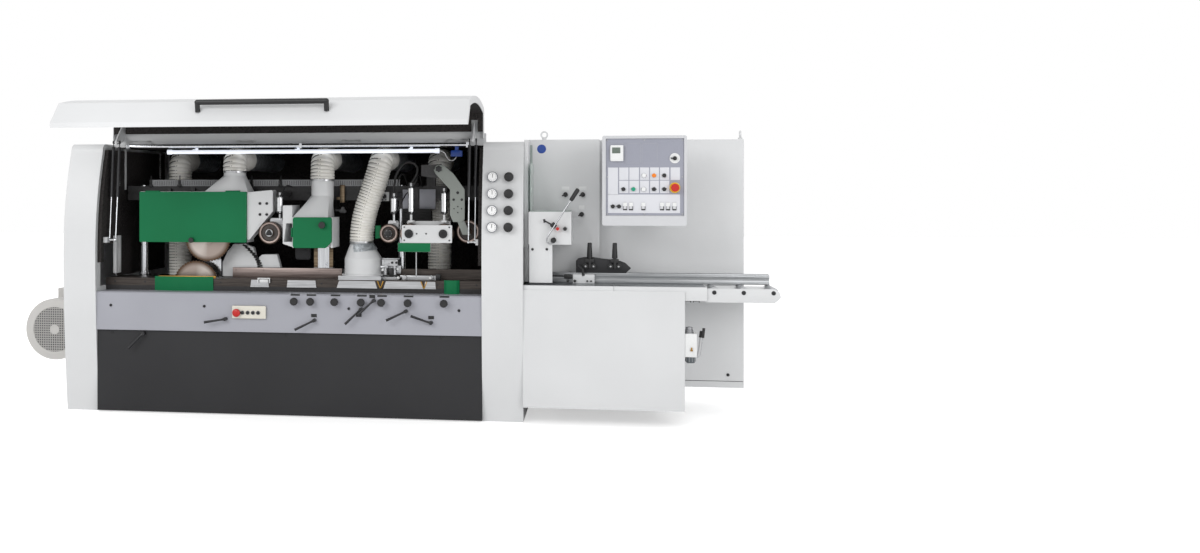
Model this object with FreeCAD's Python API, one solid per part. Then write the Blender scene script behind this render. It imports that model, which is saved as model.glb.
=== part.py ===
import FreeCAD, Part
import math
import os
from FreeCAD import Vector

# Four sided moulder with its guard hood raised. Millimetres, +Z up, the operator looks along +Y.
# The origin is on the floor, under the middle of the main body.
# A "depth" is how far a point lies behind the flat front of the lower panels.

# Main body
BODY_WIDTH = 3010.0
BODY_DEPTH = 1320.0
BODY_HEIGHT = 1755.0
BULGE = 20.0
BULGE_HEIGHT = 1035.0
FOOT_SETBACK = 45.0
CROWN_SETBACK = 118.0
CROWN_RADIUS = 55.0
LEFT_COLUMN = 220.0
RIGHT_COLUMN = 256.0
SHEET = 4.0
FOAM = 25.0
FIT = 0.05
REST_GAP = 0.3

# Heights of the table and the panels below it
TABLE_TOP = 867.0
CUT_DEPTH = 9.0
TABLE_THICKNESS = 50.0
FENCE_HEIGHT = 65.0
LEDGE_HEIGHT = 786.0
LEDGE_DEPTH = 150.0
APRON_BOTTOM = 537.0
FENCE_DEPTH = 300.0
FENCE_THICKNESS = 22.0
FEED_TUNNEL_HEIGHT = 225.0

# Raised guard hood, drawn shut and then turned up about its hinge
HOOD_SWING = 83.0
HINGE_DEPTH = 280.0
HINGE_HEIGHT = BODY_HEIGHT + 10
HOOD_SIDE_GAP = 12.0
HOOD_SHEET = 4.0
HOOD_FOAM = 32.0
HOOD_RIM = 42.0

# Gas struts of the hood
STRUT_FOOT_DEPTH = 85.0
STRUT_FOOT_HEIGHT = 1120.0
STRUT_HEAD_DEPTH = HINGE_DEPTH - 125
STRUT_HEAD_HEIGHT = HINGE_HEIGHT + 3
STRUT_SPACING = 42.0
STRUT_CYLINDER_RADIUS = 11.0
STRUT_ROD_RADIUS = 5.0
STRUT_ROD_SHOWN = 285.0
STRUT_STROKE = 102.0
STRUT_SEAL = 12.0
STRUT_NECK = 33.0
STRUT_PIN_RADIUS = 5.0
STRUT_EYE_RADIUS = 11.0
STRUT_EYE_THICKNESS = 8.0
HINGE_PIN_RADIUS = 7.0
KNUCKLE_RADIUS = 12.0
KNUCKLE_LENGTH = 60.0
KNUCKLE_X = (-1080.0, -360.0, 360.0, 1060.0)

# Dust extraction
HOSE_RADIUS = 80.0
HOSE_VALLEY = 76.0
HOSE_BORE = 72.0
SPIGOT_RADIUS = 75.0
DUCT_RADIUS = 73.5
DUCT_HEIGHT = BODY_HEIGHT - 99
DUCT_FRONT_DEPTH = 520.0
SPIGOT_OUT = 60.0
SPIGOT_STANDOFF = 4.0

# Feed beam and its pressure units
BEAM_DEPTH = 400.0
BEAM_THICKNESS = 85.0
BEAM_BOTTOM = 1381.0
BEAM_HEIGHT = 96.0
FEED_SHAFT_HEIGHT = 1170.0
FEED_ROLLER_RADIUS = 73.0
MIDDLE_ROLLER_RADIUS = 60.0
CARRIER_ROLLER_RADIUS = 64.0
ROLLER_FRONT_DEPTH = 136.0
ROLLER_WIDTH = 62.0
AXLE_RADIUS = 15.0
CYLINDER_RADIUS = 20.0
PISTON_ROD_RADIUS = 8.0
CYLINDER_DEPTH = 172.0

# Spindles
SAW_RADIUS = 157.0
SAW_THICKNESS = 4.0
SAW_TEETH = 48
UPPER_SAW_X = -604.0
UPPER_SAW_HEIGHT = 1130.0
LOWER_SAW_X = -697.0
LOWER_SAW_HEIGHT = 821.0
UPPER_SAW_DEPTH = 228.0
LOWER_SAW_DEPTH = 258.0
SPINDLE_RADIUS = 20.0
CUTTER_X = 138.0
CUTTER_HEIGHT = 1150.0
CUTTER_RADIUS = 62.0

# Infeed side
INFEED_END = 2488.0
INFEED_TABLE_END = 2578.0
EXTENSION_END = 3060.0
EXTENSION_ROLLER_RADIUS = 32.0
EXTENSION_ROLLER_PITCH = 174.5
INFEED_PANEL_BOTTOM = 100.0
HOUSING_DEPTH = 340.0
HOUSING_END = 1975.0
CABINET_DEPTH = 450.0
CABINET_END = 2890.0
CABINET_BOTTOM = 180.0
CABINET_TOP = BODY_HEIGHT + 20

# Values worked out from the ones above
FACE = BULGE - BODY_DEPTH / 2
REAR = BODY_DEPTH / 2
LEFT_OUT = -BODY_WIDTH / 2
LEFT_IN = LEFT_OUT + LEFT_COLUMN
RIGHT_OUT = BODY_WIDTH / 2
RIGHT_IN = RIGHT_OUT - RIGHT_COLUMN
TUNNEL_TOP = TABLE_TOP + FEED_TUNNEL_HEIGHT
TABLE_BOTTOM = TABLE_TOP - TABLE_THICKNESS
INFEED_TOP = TABLE_TOP - CUT_DEPTH
INFEED_BOTTOM = INFEED_TOP - 28
BED_FRONT = 60.0
HINGE = Vector(0, FACE + HINGE_DEPTH, HINGE_HEIGHT)
X_AXIS = Vector(1, 0, 0)
Y_AXIS = Vector(0, 1, 0)
Z_AXIS = Vector(0, 0, 1)

# Places of the gas struts
STRUT_LEFT_X = (LEFT_IN + FOAM + 28, LEFT_IN + FOAM + 28 + STRUT_SPACING)
STRUT_RIGHT_X = (RIGHT_IN - FOAM - 26, RIGHT_IN - FOAM - 26 - STRUT_SPACING)

# Bed and panels
BED_WALL = 20.0
PANEL_SKIN = 5.0

# Guide rods, pillars and rail
GUIDE_ROD_RADIUS = 28.0
GUIDE_ROD_X = (-1136.0, 668.0)
GUIDE_ROD_DEPTH = BEAM_DEPTH + 50
PILLAR_FRONT = FENCE_DEPTH + FENCE_THICKNESS + 4
PILLAR_BACK = BEAM_DEPTH - 12
RAIL_RADIUS = 14.0

# Hoods, funnels and hoses
FUNNEL_WALL = 3.0
SAW_HOOD_LEFT = -1050.0
SAW_HOOD_RIGHT = -316.0
SAW_HOOD_BOTTOM = 1105.0
SAW_HOOD_TOP = 1440.0
SAW_HOOD_FRONT = 170.0
SAW_GUARD_FRONT = 150.0
SAW_SIDE_RIGHT = -143.0
SAW_FENCE_X = -455.0
SAW_DUCT_X = -430.0
SAW_NECK_HEIGHT = 1545.0
CUTTER_GUARD_X = (9.0, 265.0)
CUTTER_GUARD_Z = (1074.0, 1273.0)
CUTTER_DUCT_X = 168.0
CUTTER_NECK_HEIGHT = 1520.0
NECK_DEPTH = 272.0
BACK_HOSE_X = (-926.0, 905.0)
BACK_HOSE_DEPTH = 590.0
SIDE_HOSE_X = 563.0
HOSE_X = (SAW_DUCT_X, CUTTER_DUCT_X, SIDE_HOSE_X) + BACK_HOSE_X
CUTTER_HOOD_X = 439.0
CUTTER_HOOD_DEPTH = 290.0
CUTTER_HOOD_RADIUS = 123.0
CUTTER_HOOD_FLANGE = 140.0
HOOD_BASE = 26.0
KNOB_X = (53.0, 159.0, 316.0, 487.0, 617.0, 786.0, 1014.0)

# Feed units
UNITS = {
    "outfeed": (-154.0, FEED_ROLLER_RADIUS, 1410.0),
    "middle": (635.0, MIDDLE_ROLLER_RADIUS, 1404.0),
}
CARRIER_X = (771.0, 991.0)
ARM_PIVOT = (961.0, 1584.0)
ARM_ROLLER = (1138.0, 1182.0)
CYLINDERS = {-94.0: 1410.0, 664.0: 1404.0, 776.0: 1470.0, 990.0: 1437.0}
CYLINDER_FOOT = 1300.0
CARRIER_ROD_X = (776.0, 990.0)
DUCT_SLOTS = 34

# Locking levers: stud in X and Z, and the direction of the lever in degrees
LEVERS = [(181, 620, 206), (483, 695, 224), (566, 751, 222.6), (771, 687, 205.3), (931, 617, 160.5),
          (-405, 620, 188.7), (-962, 516, 226)]
LEVER_LENGTH = 132.0
STUD_RADIUS = 6.0
HUB_RADIUS = 12.0

# Rollers of the infeed extension
EXTENSION_Z = INFEED_TOP - EXTENSION_ROLLER_RADIUS
EXTENSION_X = [2664.0 + i * EXTENSION_ROLLER_PITCH for i in range(3)]

# Control panel: places in X and Z, and the radius of each button
ESTOP = (2425.0, 1463.0)
PANEL_BUTTONS = [(2241, 1537, 13), (2301, 1537, 15), (2362, 1537, 13), (2118, 1454, 13), (2178, 1454, 13),
                 (2239, 1454, 13), (2301, 1454, 12), (2362, 1454, 12), (2054, 1349, 12), (2092, 1349, 12)]

nodes = {}


def depth(distance):
    return FACE + distance


def block(x0, x1, d0, d1, z0, z1):
    return Part.makeBox(x1 - x0, d1 - d0, z1 - z0, Vector(x0, depth(d0), z0))


def bar(start, end, radius):
    return Part.makeCylinder(radius, (end - start).Length, start, end - start)


def at(x, d, z):
    return Vector(x, depth(d), z)


def turned_y(x, z, d0, d1, radius):
    return bar(at(x, d0, z), at(x, d1, z), radius)


def slab_x(points, x0, x1):
    """A prism along X over an outline given as depth and height."""
    wire = Part.makePolygon([at(x0, d, z) for d, z in points + points[:1]])
    return Part.Face(wire).extrude(Vector(x1 - x0, 0, 0))


def slab_y(points, d0, d1):
    """A prism along Y over an outline given as x and height."""
    wire = Part.makePolygon([at(x, d0, z) for x, z in points + points[:1]])
    return Part.Face(wire).extrude(Vector(0, d1 - d0, 0))


def slab_z(points, z0, z1):
    """A prism along Z over an outline given as x and depth."""
    wire = Part.makePolygon([at(x, d, z0) for x, d in points + points[:1]])
    return Part.Face(wire).extrude(Vector(0, 0, z1 - z0))


def joined(shapes):
    first = shapes[0]
    return first.fuse(shapes[1:]).removeSplitter() if len(shapes) > 1 else first


def without(shape, tools):
    return shape.cut(tools if isinstance(tools, list) else [tools])


def softened(shape, radius, along, tolerance=0.01):
    """Round the straight edges that run along one axis."""
    chosen = []
    for edge in shape.Edges:
        if edge.Curve.TypeId == "Part::GeomLine":
            if abs(abs(edge.Curve.Direction.dot(along)) - 1) < tolerance:
                chosen.append(edge)
    return shape.makeFillet(radius, chosen)


def keep(name, *shapes):
    solids = []
    for shape in shapes:
        solids.extend(shape.Solids)
    nodes[name] = solids


def face_line(z):
    """Where the curved front of the side columns lies at a height."""
    if z < BULGE_HEIGHT:
        span, sag = BULGE_HEIGHT, FOOT_SETBACK + BULGE
    else:
        span, sag = BODY_HEIGHT - BULGE_HEIGHT, CROWN_SETBACK + BULGE
    radius = (span ** 2 + sag ** 2) / (2 * sag)
    drop = abs(z - BULGE_HEIGHT)
    return radius - math.sqrt(radius ** 2 - drop ** 2) - BULGE


def body_outline(x, inset, bottom):
    """The side outline of the body at x, drawn in by inset, as a face."""
    crown = BODY_HEIGHT - CROWN_RADIUS
    low, mid = (bottom + BULGE_HEIGHT) / 2, (BULGE_HEIGHT + crown) / 2
    heights = [bottom, low, BULGE_HEIGHT, mid, crown]
    points = [at(x, face_line(z) + inset, z) for z in heights]
    radius = CROWN_RADIUS - inset
    centre = points[4] + Vector(0, radius, 0)
    slant = Vector(0, -radius, radius) * math.sqrt(0.5)
    top = centre + Vector(0, 0, radius)
    back_top = Vector(x, REAR - inset, top.z)
    back_bottom = Vector(x, REAR - inset, bottom)
    edges = [
        Part.Arc(points[0], points[1], points[2]).toShape(),
        Part.Arc(points[2], points[3], points[4]).toShape(),
        Part.Arc(points[4], centre + slant, top).toShape(),
        Part.LineSegment(top, back_top).toShape(),
        Part.LineSegment(back_top, back_bottom).toShape(),
        Part.LineSegment(back_bottom, points[0]).toShape(),
    ]
    return Part.Face(Part.Wire(edges))


def body_slab(x0, x1, inset, bottom):
    return body_outline(x0, inset, bottom).extrude(Vector(x1 - x0, 0, 0))


def feed_window(x0, x1, margin=0.0):
    """The way the timber takes through a wall."""
    return block(x0, x1, 60 - margin, FENCE_DEPTH + FENCE_THICKNESS + margin,
                 TABLE_BOTTOM - margin, TUNNEL_TOP + margin)


# Side columns, each with the bracket and pin that the hood's struts stand on


def column(x0, x1):
    shell = without(body_slab(x0, x1, 0, 0), body_slab(x0 + SHEET, x1 - SHEET, SHEET, -1))
    return without(shell, feed_window(x0 - 1, x1 + 1))


def strut_bracket(wall, towards, outer_x, inner_x):
    """A painted lug on the column with one pin for a pair of rod eyes."""
    reach = outer_x - towards * (STRUT_ROD_RADIUS + 1)
    end = inner_x + towards * (STRUT_EYE_THICKNESS / 2 + 4)
    lug = block(min(wall, reach), max(wall, reach), STRUT_FOOT_DEPTH - 30, STRUT_FOOT_DEPTH + 24,
                STRUT_FOOT_HEIGHT - 18, STRUT_FOOT_HEIGHT + 18)
    pin = bar(at(wall, STRUT_FOOT_DEPTH, STRUT_FOOT_HEIGHT), at(end, STRUT_FOOT_DEPTH, STRUT_FOOT_HEIGHT),
              STRUT_PIN_RADIUS)
    return joined([lug, pin])


def side_columns():
    keep("side_columns",
         column(LEFT_OUT, LEFT_IN),
         column(RIGHT_IN, RIGHT_OUT),
         strut_bracket(LEFT_IN, 1, *STRUT_LEFT_X),
         strut_bracket(RIGHT_IN, -1, *STRUT_RIGHT_X))


# Bed, panels and rear housing


def saw_pit():
    """Room in the table and the bed for the lower saw and its shaft."""
    blade = block(LOWER_SAW_X - SAW_RADIUS - 14, LOWER_SAW_X + SAW_RADIUS + 14,
                  LOWER_SAW_DEPTH - 22, LOWER_SAW_DEPTH + 26,
                  LOWER_SAW_HEIGHT - SAW_RADIUS - 20, TABLE_TOP + 1)
    shaft = block(LOWER_SAW_X - 46, LOWER_SAW_X + 46, LOWER_SAW_DEPTH, 560,
                  LOWER_SAW_HEIGHT - 46, TABLE_TOP + 1)
    return [blade, shaft]


def machine_bed():
    x0, x1 = LEFT_IN, RIGHT_IN
    bed = block(x0, x1, BED_FRONT, 1240, 0, TABLE_BOTTOM)
    hollow = block(x0 + BED_WALL, x1 - BED_WALL, BED_FRONT + BED_WALL, 1240 - BED_WALL,
                   BED_WALL, LEDGE_HEIGHT - PANEL_SKIN - BED_WALL)
    under = [block(x0 + 60, x1 - 60, d0, d1, -1, BED_WALL + 1) for d0, d1 in ((120, 560), (760, 1180))]
    access = [block(x - 260, x + 260, 1200, 1260, 120, 560) for x in (-700, 0, 700)]
    ports = [bar(at(x, BACK_HOSE_DEPTH, LEDGE_HEIGHT - PANEL_SKIN - BED_WALL - 1),
                 at(x, BACK_HOSE_DEPTH, TABLE_BOTTOM + 1),
                 HOSE_BORE) for x in BACK_HOSE_X]
    ledge = block(x0 - 1, x1 + 1, 0, LEDGE_DEPTH, LEDGE_HEIGHT - PANEL_SKIN, TABLE_TOP)
    bed = without(bed, [hollow, ledge] + under + access + ports + saw_pit())
    bearing = block(LOWER_SAW_X - 44, LOWER_SAW_X + 44, 400, 530, BED_WALL, LOWER_SAW_HEIGHT + 42)
    bearing = without(bearing, turned_y(LOWER_SAW_X, LOWER_SAW_HEIGHT, 399, 531, SPINDLE_RADIUS + FIT))
    keep("machine_bed", joined([bed, bearing]))


def front_panels():
    keep("lower_front_panel",
         block(LEFT_IN, RIGHT_IN, 15, 20, 6, APRON_BOTTOM - 3),
         block(LEFT_IN, RIGHT_IN, 20, BED_FRONT, 6, 30))
    fold = PANEL_SKIN
    outline = [(0, APRON_BOTTOM), (0, LEDGE_HEIGHT - 8), (8, LEDGE_HEIGHT), (LEDGE_DEPTH, LEDGE_HEIGHT),
               (LEDGE_DEPTH, LEDGE_HEIGHT - fold), (10, LEDGE_HEIGHT - fold), (fold, LEDGE_HEIGHT - 10),
               (fold, APRON_BOTTOM + fold), (BED_FRONT, APRON_BOTTOM + fold), (BED_FRONT, APRON_BOTTOM)]
    apron = slab_x(outline, LEFT_IN, RIGHT_IN)
    slots = [block(x - 31, x + 31, -1, 34, LEDGE_HEIGHT - 12, LEDGE_HEIGHT + 1) for x in KNOB_X]
    keep("front_apron", without(apron, slots))


def rear_housing():
    roof_front = HINGE_DEPTH + 8
    roof = block(LEFT_IN, RIGHT_IN, roof_front, REAR - FACE, BODY_HEIGHT - SHEET, BODY_HEIGHT)
    lip = block(LEFT_IN, RIGHT_IN, roof_front, roof_front + SHEET, BODY_HEIGHT - 17, BODY_HEIGHT)
    flange = block(LEFT_IN, RIGHT_IN, HINGE_DEPTH + 13, HINGE_DEPTH + 17, BODY_HEIGHT - 1, HINGE_HEIGHT + 52)
    wall = block(LEFT_IN, RIGHT_IN, REAR - FACE - SHEET, REAR - FACE, 40, BODY_HEIGHT)
    holes = [bar(Vector(x, REAR - 20, DUCT_HEIGHT), Vector(x, REAR + 20, DUCT_HEIGHT), DUCT_RADIUS + REST_GAP)
             for x in HOSE_X]
    shell = without(joined([roof, lip, flange, wall]), holes)
    keep("rear_housing", joined([shell] + [fixed_knuckles(x) for x in KNUCKLE_X]))


def fixed_knuckles(x):
    """Two hinge knuckles on the roof with their pin, and room for the hood's knuckle between them."""
    inner, outer = KNUCKLE_LENGTH / 2, KNUCKLE_LENGTH / 2 + 32
    pieces = [bar(HINGE + X_AXIS * (x - outer), HINGE + X_AXIS * (x + outer), HINGE_PIN_RADIUS)]
    for x0, x1 in ((x - outer, x - inner), (x + inner, x + outer)):
        pieces.append(bar(HINGE + X_AXIS * x0, HINGE + X_AXIS * x1, KNUCKLE_RADIUS))
        pieces.append(block(x0, x1, HINGE_DEPTH - 4, HINGE_DEPTH + 12, BODY_HEIGHT - 22, HINGE_HEIGHT))
    return joined(pieces)


def hood_knuckle(x):
    """The hood's knuckle and its web, in the shut pose."""
    x0, x1 = x - KNUCKLE_LENGTH / 2 + REST_GAP, x + KNUCKLE_LENGTH / 2 - REST_GAP
    sleeve = bar(HINGE + X_AXIS * x0, HINGE + X_AXIS * x1, KNUCKLE_RADIUS)
    web = block(x0, x1, HINGE_DEPTH - 22, HINGE_DEPTH, HINGE_HEIGHT - 1, HINGE_HEIGHT + 3)
    bore = bar(HINGE + X_AXIS * (x0 - 1), HINGE + X_AXIS * (x1 + 1), HINGE_PIN_RADIUS + FIT)
    return joined([sleeve, web]).cut(bore)


def hood_reach():
    """The corner of the cabin that the shut hood's lower edge comes down into."""
    points = [(-80, 760), (170, 760), (170, 850), (70, 975), (-80, 975)]
    return slab_x(points, LEFT_IN - 1, RIGHT_IN + 1)


def acoustic_lining():
    walls = []
    for x0, x1, bracket_x in ((LEFT_IN, LEFT_IN + FOAM, LEFT_IN),
                              (RIGHT_IN - FOAM, RIGHT_IN, RIGHT_IN - FOAM)):
        foam = body_slab(x0, x1, 34, TABLE_TOP - 40)
        foam = foam.common(block(x0, x1, 0, 1160, LEDGE_HEIGHT, BODY_HEIGHT - SHEET - 34))
        pocket = block(x0 - 1, x1 + 1, STRUT_FOOT_DEPTH - 34, STRUT_FOOT_DEPTH + 28,
                       STRUT_FOOT_HEIGHT - 22, STRUT_FOOT_HEIGHT + 22)
        walls.append(without(foam, [pocket, hood_reach(), feed_window(x0 - 1, x1 + 1, 2),
                                    block(x0 - 1, x1 + 1, 0, 1260, 0, TABLE_TOP + 2)]))
    keep("acoustic_lining", *walls)


# Work table, fence and the bright front plates
def work_table():
    x0, x1 = LEFT_IN, RIGHT_IN
    plate = block(x0, x1, LEDGE_DEPTH, FENCE_DEPTH + 90, TABLE_BOTTOM, TABLE_TOP)
    grooves = [block(x0 - 1, x1 + 1, d, d + 14, TABLE_TOP - 12, TABLE_TOP + 1) for d in (176, 214)]
    fence_1 = block(SAW_FENCE_X, CUTTER_HOOD_X - CUTTER_HOOD_FLANGE - 6, FENCE_DEPTH,
                    FENCE_DEPTH + FENCE_THICKNESS, TABLE_TOP, TABLE_TOP + FENCE_HEIGHT)
    fence_2 = block(CUTTER_HOOD_X + CUTTER_HOOD_FLANGE + 6, x1, FENCE_DEPTH,
                    FENCE_DEPTH + FENCE_THICKNESS, TABLE_TOP, TABLE_TOP + FENCE_HEIGHT)
    keep("work_table", without(plate, grooves + saw_pit()), fence_1, fence_2)


def front_plate(x0, x1, slant):
    """One bright gib plate on the front edge of the table, wider at its foot."""
    low, high = TABLE_TOP - 52, TABLE_TOP - 5
    return slab_y([(x0, low), (x1, low), (x1 - slant, high), (x0 + slant, high)], LEDGE_DEPTH - 9,
                  LEDGE_DEPTH)


def side_guides():
    plates = [front_plate(292, 559, 16), front_plate(600, 861, 16), front_plate(866, 940, 4),
              front_plate(-40, 157, 6), front_plate(-285, -160, 6)]
    reach = CUTTER_HOOD_FLANGE
    base = block(CUTTER_HOOD_X - reach, CUTTER_HOOD_X + reach, CUTTER_HOOD_DEPTH - reach + 6,
                 CUTTER_HOOD_DEPTH + 80, TABLE_TOP, TABLE_TOP + HOOD_BASE)
    base = without(base, bar(at(CUTTER_HOOD_X, CUTTER_HOOD_DEPTH, TABLE_TOP - 1),
                             at(CUTTER_HOOD_X, CUTTER_HOOD_DEPTH, TABLE_TOP + HOOD_BASE + 1),
                             CUTTER_HOOD_RADIUS - 10))
    shoe = block(580, 683, 232, 292, TABLE_TOP, TABLE_TOP + 16)
    head = softened(block(572, 676, 240, 288, TABLE_TOP + 90, TABLE_TOP + 130), 6, Y_AXIS)
    posts = [bar(at(x, 262, TABLE_TOP + 16), at(x, 262, TABLE_TOP + 90), 13) for x in (592, 652)]
    rail = block(703, 926, 236, 262, TABLE_TOP, TABLE_TOP + 20)
    rail_top = block(703, 926, 262, 290, TABLE_TOP, TABLE_TOP + 12)
    knobs = [turned_y(x, TABLE_TOP + z, 212, 236, 14) for x, z in ((724, 16), (900, 16))]
    keep("side_guides", *plates, base, shoe, joined([head] + posts), joined([rail, rail_top]), *knobs)


def table_guards():
    """The three green chip guards that stand still: two on the ledge and one beside the side hood."""
    low, high = LEDGE_HEIGHT, TABLE_TOP + 12
    outer = [(-940, 228), (-814, 164), (-678, 164), (-539, 228)]
    near = LEDGE_DEPTH - 6
    outer = [(x, near - (228 - d) / 3) for x, d in outer]
    inner = [(x, d + 4) for x, d in outer]
    left = slab_z(outer + inner[::-1], low, high)
    right_outer = [(993, near), (1010, near - 14), (1042, near - 20), (1075, near - 14), (1092, near)]
    right = slab_z(right_outer + [(x, d + 4) for x, d in right_outer[::-1]], low, high - 6)
    keep("table_guards", left, right)


# Guide columns, slide pillars and the bright rail over the opening


def guide_columns():
    rods = []
    for x in GUIDE_ROD_X:
        foot = at(x, GUIDE_ROD_DEPTH, TABLE_BOTTOM)
        rod = bar(foot, at(x, GUIDE_ROD_DEPTH, BEAM_BOTTOM + BEAM_HEIGHT + 6), GUIDE_ROD_RADIUS)
        rods.append(joined([rod, bar(foot, foot + Z_AXIS * 70, GUIDE_ROD_RADIUS + 7)]))
    saw_pillar = block(UPPER_SAW_X - 60, UPPER_SAW_X + 60, PILLAR_FRONT, PILLAR_BACK,
                       TABLE_TOP, UPPER_SAW_HEIGHT - 70)
    saw_pillar = saw_pillar.cut(block(LOWER_SAW_X - 60, LOWER_SAW_X + 60, 0, 600, 0, LOWER_SAW_HEIGHT + 60))
    slide = block(CUTTER_X - 40, CUTTER_X + 89, PILLAR_FRONT, PILLAR_BACK, TABLE_TOP, CUTTER_HEIGHT - 70)
    ways = [block(x, x + 26, PILLAR_FRONT - 3, PILLAR_FRONT, TABLE_TOP + FENCE_HEIGHT, CUTTER_GUARD_Z[0] - 2)
            for x in (CUTTER_X - 40, CUTTER_X + 63)]
    eye = turned_y(CUTTER_X + 49, TABLE_TOP + 90, PILLAR_FRONT - 1, PILLAR_FRONT + 40, 11)
    slide = without(joined([slide] + ways), eye)
    rail_depth, rail_height = HINGE_DEPTH - 40, BODY_HEIGHT - 12
    rail_left, rail_right = STRUT_LEFT_X[1] + 10, STRUT_RIGHT_X[1] - 10
    rail = bar(at(rail_left, rail_depth, rail_height), at(rail_right, rail_depth, rail_height), RAIL_RADIUS)
    clips = [block(x - 9, x + 9, rail_depth - RAIL_RADIUS - 3, HINGE_DEPTH + 8, rail_height - 19,
                   rail_height + 14)
             for x in (rail_left + 18, 30, rail_right - 12)]
    rail = joined([rail] + clips)
    keep("guide_columns", *rods, saw_pillar, slide, rail)


def work_light():
    d, z = HINGE_DEPTH - 50, BODY_HEIGHT - 52
    tube = bar(at(-864, d, z), at(931, d, z), 13)
    caps = [bar(at(x - 14, d, z), at(x + 14, d, z), 16) for x in (-870, 937)]
    hangers = [block(x - 9, x + 9, d - 4, HINGE_DEPTH + 8, z + 12, z + 17) for x in (-700, 0, 760)]
    stays = [block(x - 9, x + 9, HINGE_DEPTH + 3, HINGE_DEPTH + 8, z + 12,
                   BODY_HEIGHT - 4) for x in (-700, 0, 760)]
    keep("work_light", joined([tube] + caps + hangers + stays))


# Hoods over the spindles


def ring(centre, along, radius, steady):
    """A circle as a wire, square to a direction, with its seam on the steady side."""
    side = (steady - along * steady.dot(along)).normalize()
    up = along.cross(side)
    turn = FreeCAD.Matrix(side.x, up.x, along.x, centre.x,
                          side.y, up.y, along.y, centre.y,
                          side.z, up.z, along.z, centre.z,
                          0, 0, 0, 1)
    circle = Part.makeCircle(radius)
    circle.Placement = FreeCAD.Placement(turn)
    return Part.Wire([circle])


def rectangle(x0, x1, d0, d1, z):
    return Part.makePolygon([at(x0, d0, z), at(x1, d0, z), at(x1, d1, z), at(x0, d1, z), at(x0, d0, z)])


def funnel(x0, x1, d0, d1, z0, neck_x, neck_z, rise):
    """A sheet funnel from an oblong foot to a round neck that goes up a little."""
    outer, inner = [], []
    for shell, wall in ((outer, 0.0), (inner, FUNNEL_WALL)):
        foot = rectangle(x0 + wall, x1 - wall, d0 + wall, d1 - wall, z0)
        top = ring(at(neck_x, NECK_DEPTH, neck_z), Z_AXIS, DUCT_RADIUS - wall, X_AXIS)
        shell.append(Part.makeLoft([foot, top], True, True))
        shell.append(bar(at(neck_x, NECK_DEPTH, neck_z), at(neck_x, NECK_DEPTH, neck_z + rise),
                         DUCT_RADIUS - wall))
    return without(joined(outer), inner)


def spindle_block(x, z, d0, d1, half, foot):
    """A bearing block for a spindle, down to its pillar."""
    body = softened(block(x - half, x + half, d0, d1, foot, z + half), 10, Y_AXIS)
    return without(body, turned_y(x, z, d0 - 1, d1 + 1, SPINDLE_RADIUS + FIT))


def saw_unit_housing():
    back = PILLAR_FRONT
    box = block(SAW_HOOD_LEFT, SAW_HOOD_RIGHT, SAW_HOOD_FRONT, back, SAW_HOOD_BOTTOM, SAW_HOOD_TOP)
    room = block(SAW_HOOD_LEFT + SHEET, SAW_HOOD_RIGHT - SHEET, SAW_HOOD_FRONT - 1, back - SHEET,
                 SAW_HOOD_BOTTOM - 1, SAW_HOOD_TOP - SHEET)
    shaft = turned_y(UPPER_SAW_X, UPPER_SAW_HEIGHT, back - 20, back + 20, SPINDLE_RADIUS + 12)
    dust = block(SAW_DUCT_X - 120, SAW_DUCT_X + 110, SAW_HOOD_FRONT + 20, back - 20, SAW_HOOD_TOP - 10,
                 SAW_HOOD_TOP + 1)
    shell = without(box, [room, shaft, dust])
    side = slab_y([(SAW_HOOD_RIGHT, SAW_HOOD_BOTTOM), (SAW_SIDE_RIGHT, SAW_HOOD_BOTTOM + 205),
                   (SAW_SIDE_RIGHT, SAW_HOOD_TOP + 10), (SAW_HOOD_RIGHT, SAW_HOOD_TOP - 6)],
                  SAW_HOOD_FRONT, SAW_HOOD_FRONT + 90)
    side = softened(side, 10, Y_AXIS)
    side = without(side, slab_y([(SAW_HOOD_RIGHT, SAW_HOOD_BOTTOM + 20),
                                 (SAW_SIDE_RIGHT - 8, SAW_HOOD_BOTTOM + 215),
                                 (SAW_SIDE_RIGHT - 8, SAW_HOOD_TOP), (SAW_HOOD_RIGHT, SAW_HOOD_TOP - 14)],
                                SAW_HOOD_FRONT + 8, SAW_HOOD_FRONT + 91))
    mouth = funnel(SAW_DUCT_X - 177, SAW_DUCT_X + 156 - 40, SAW_HOOD_FRONT + 5, back - 5, SAW_HOOD_TOP,
                   SAW_DUCT_X, SAW_NECK_HEIGHT, 30)
    bearing = spindle_block(UPPER_SAW_X, UPPER_SAW_HEIGHT, PILLAR_FRONT, PILLAR_BACK, 60,
                            UPPER_SAW_HEIGHT - 70)
    tail = turned_y(UPPER_SAW_X, UPPER_SAW_HEIGHT, PILLAR_BACK, PILLAR_BACK + 180, 66)
    tail = without(tail, turned_y(UPPER_SAW_X, UPPER_SAW_HEIGHT, PILLAR_BACK - 1, PILLAR_BACK + 120,
                                  SPINDLE_RADIUS + 6))
    keep("saw_unit_housing", shell, side, mouth, joined([bearing, tail]))


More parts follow.
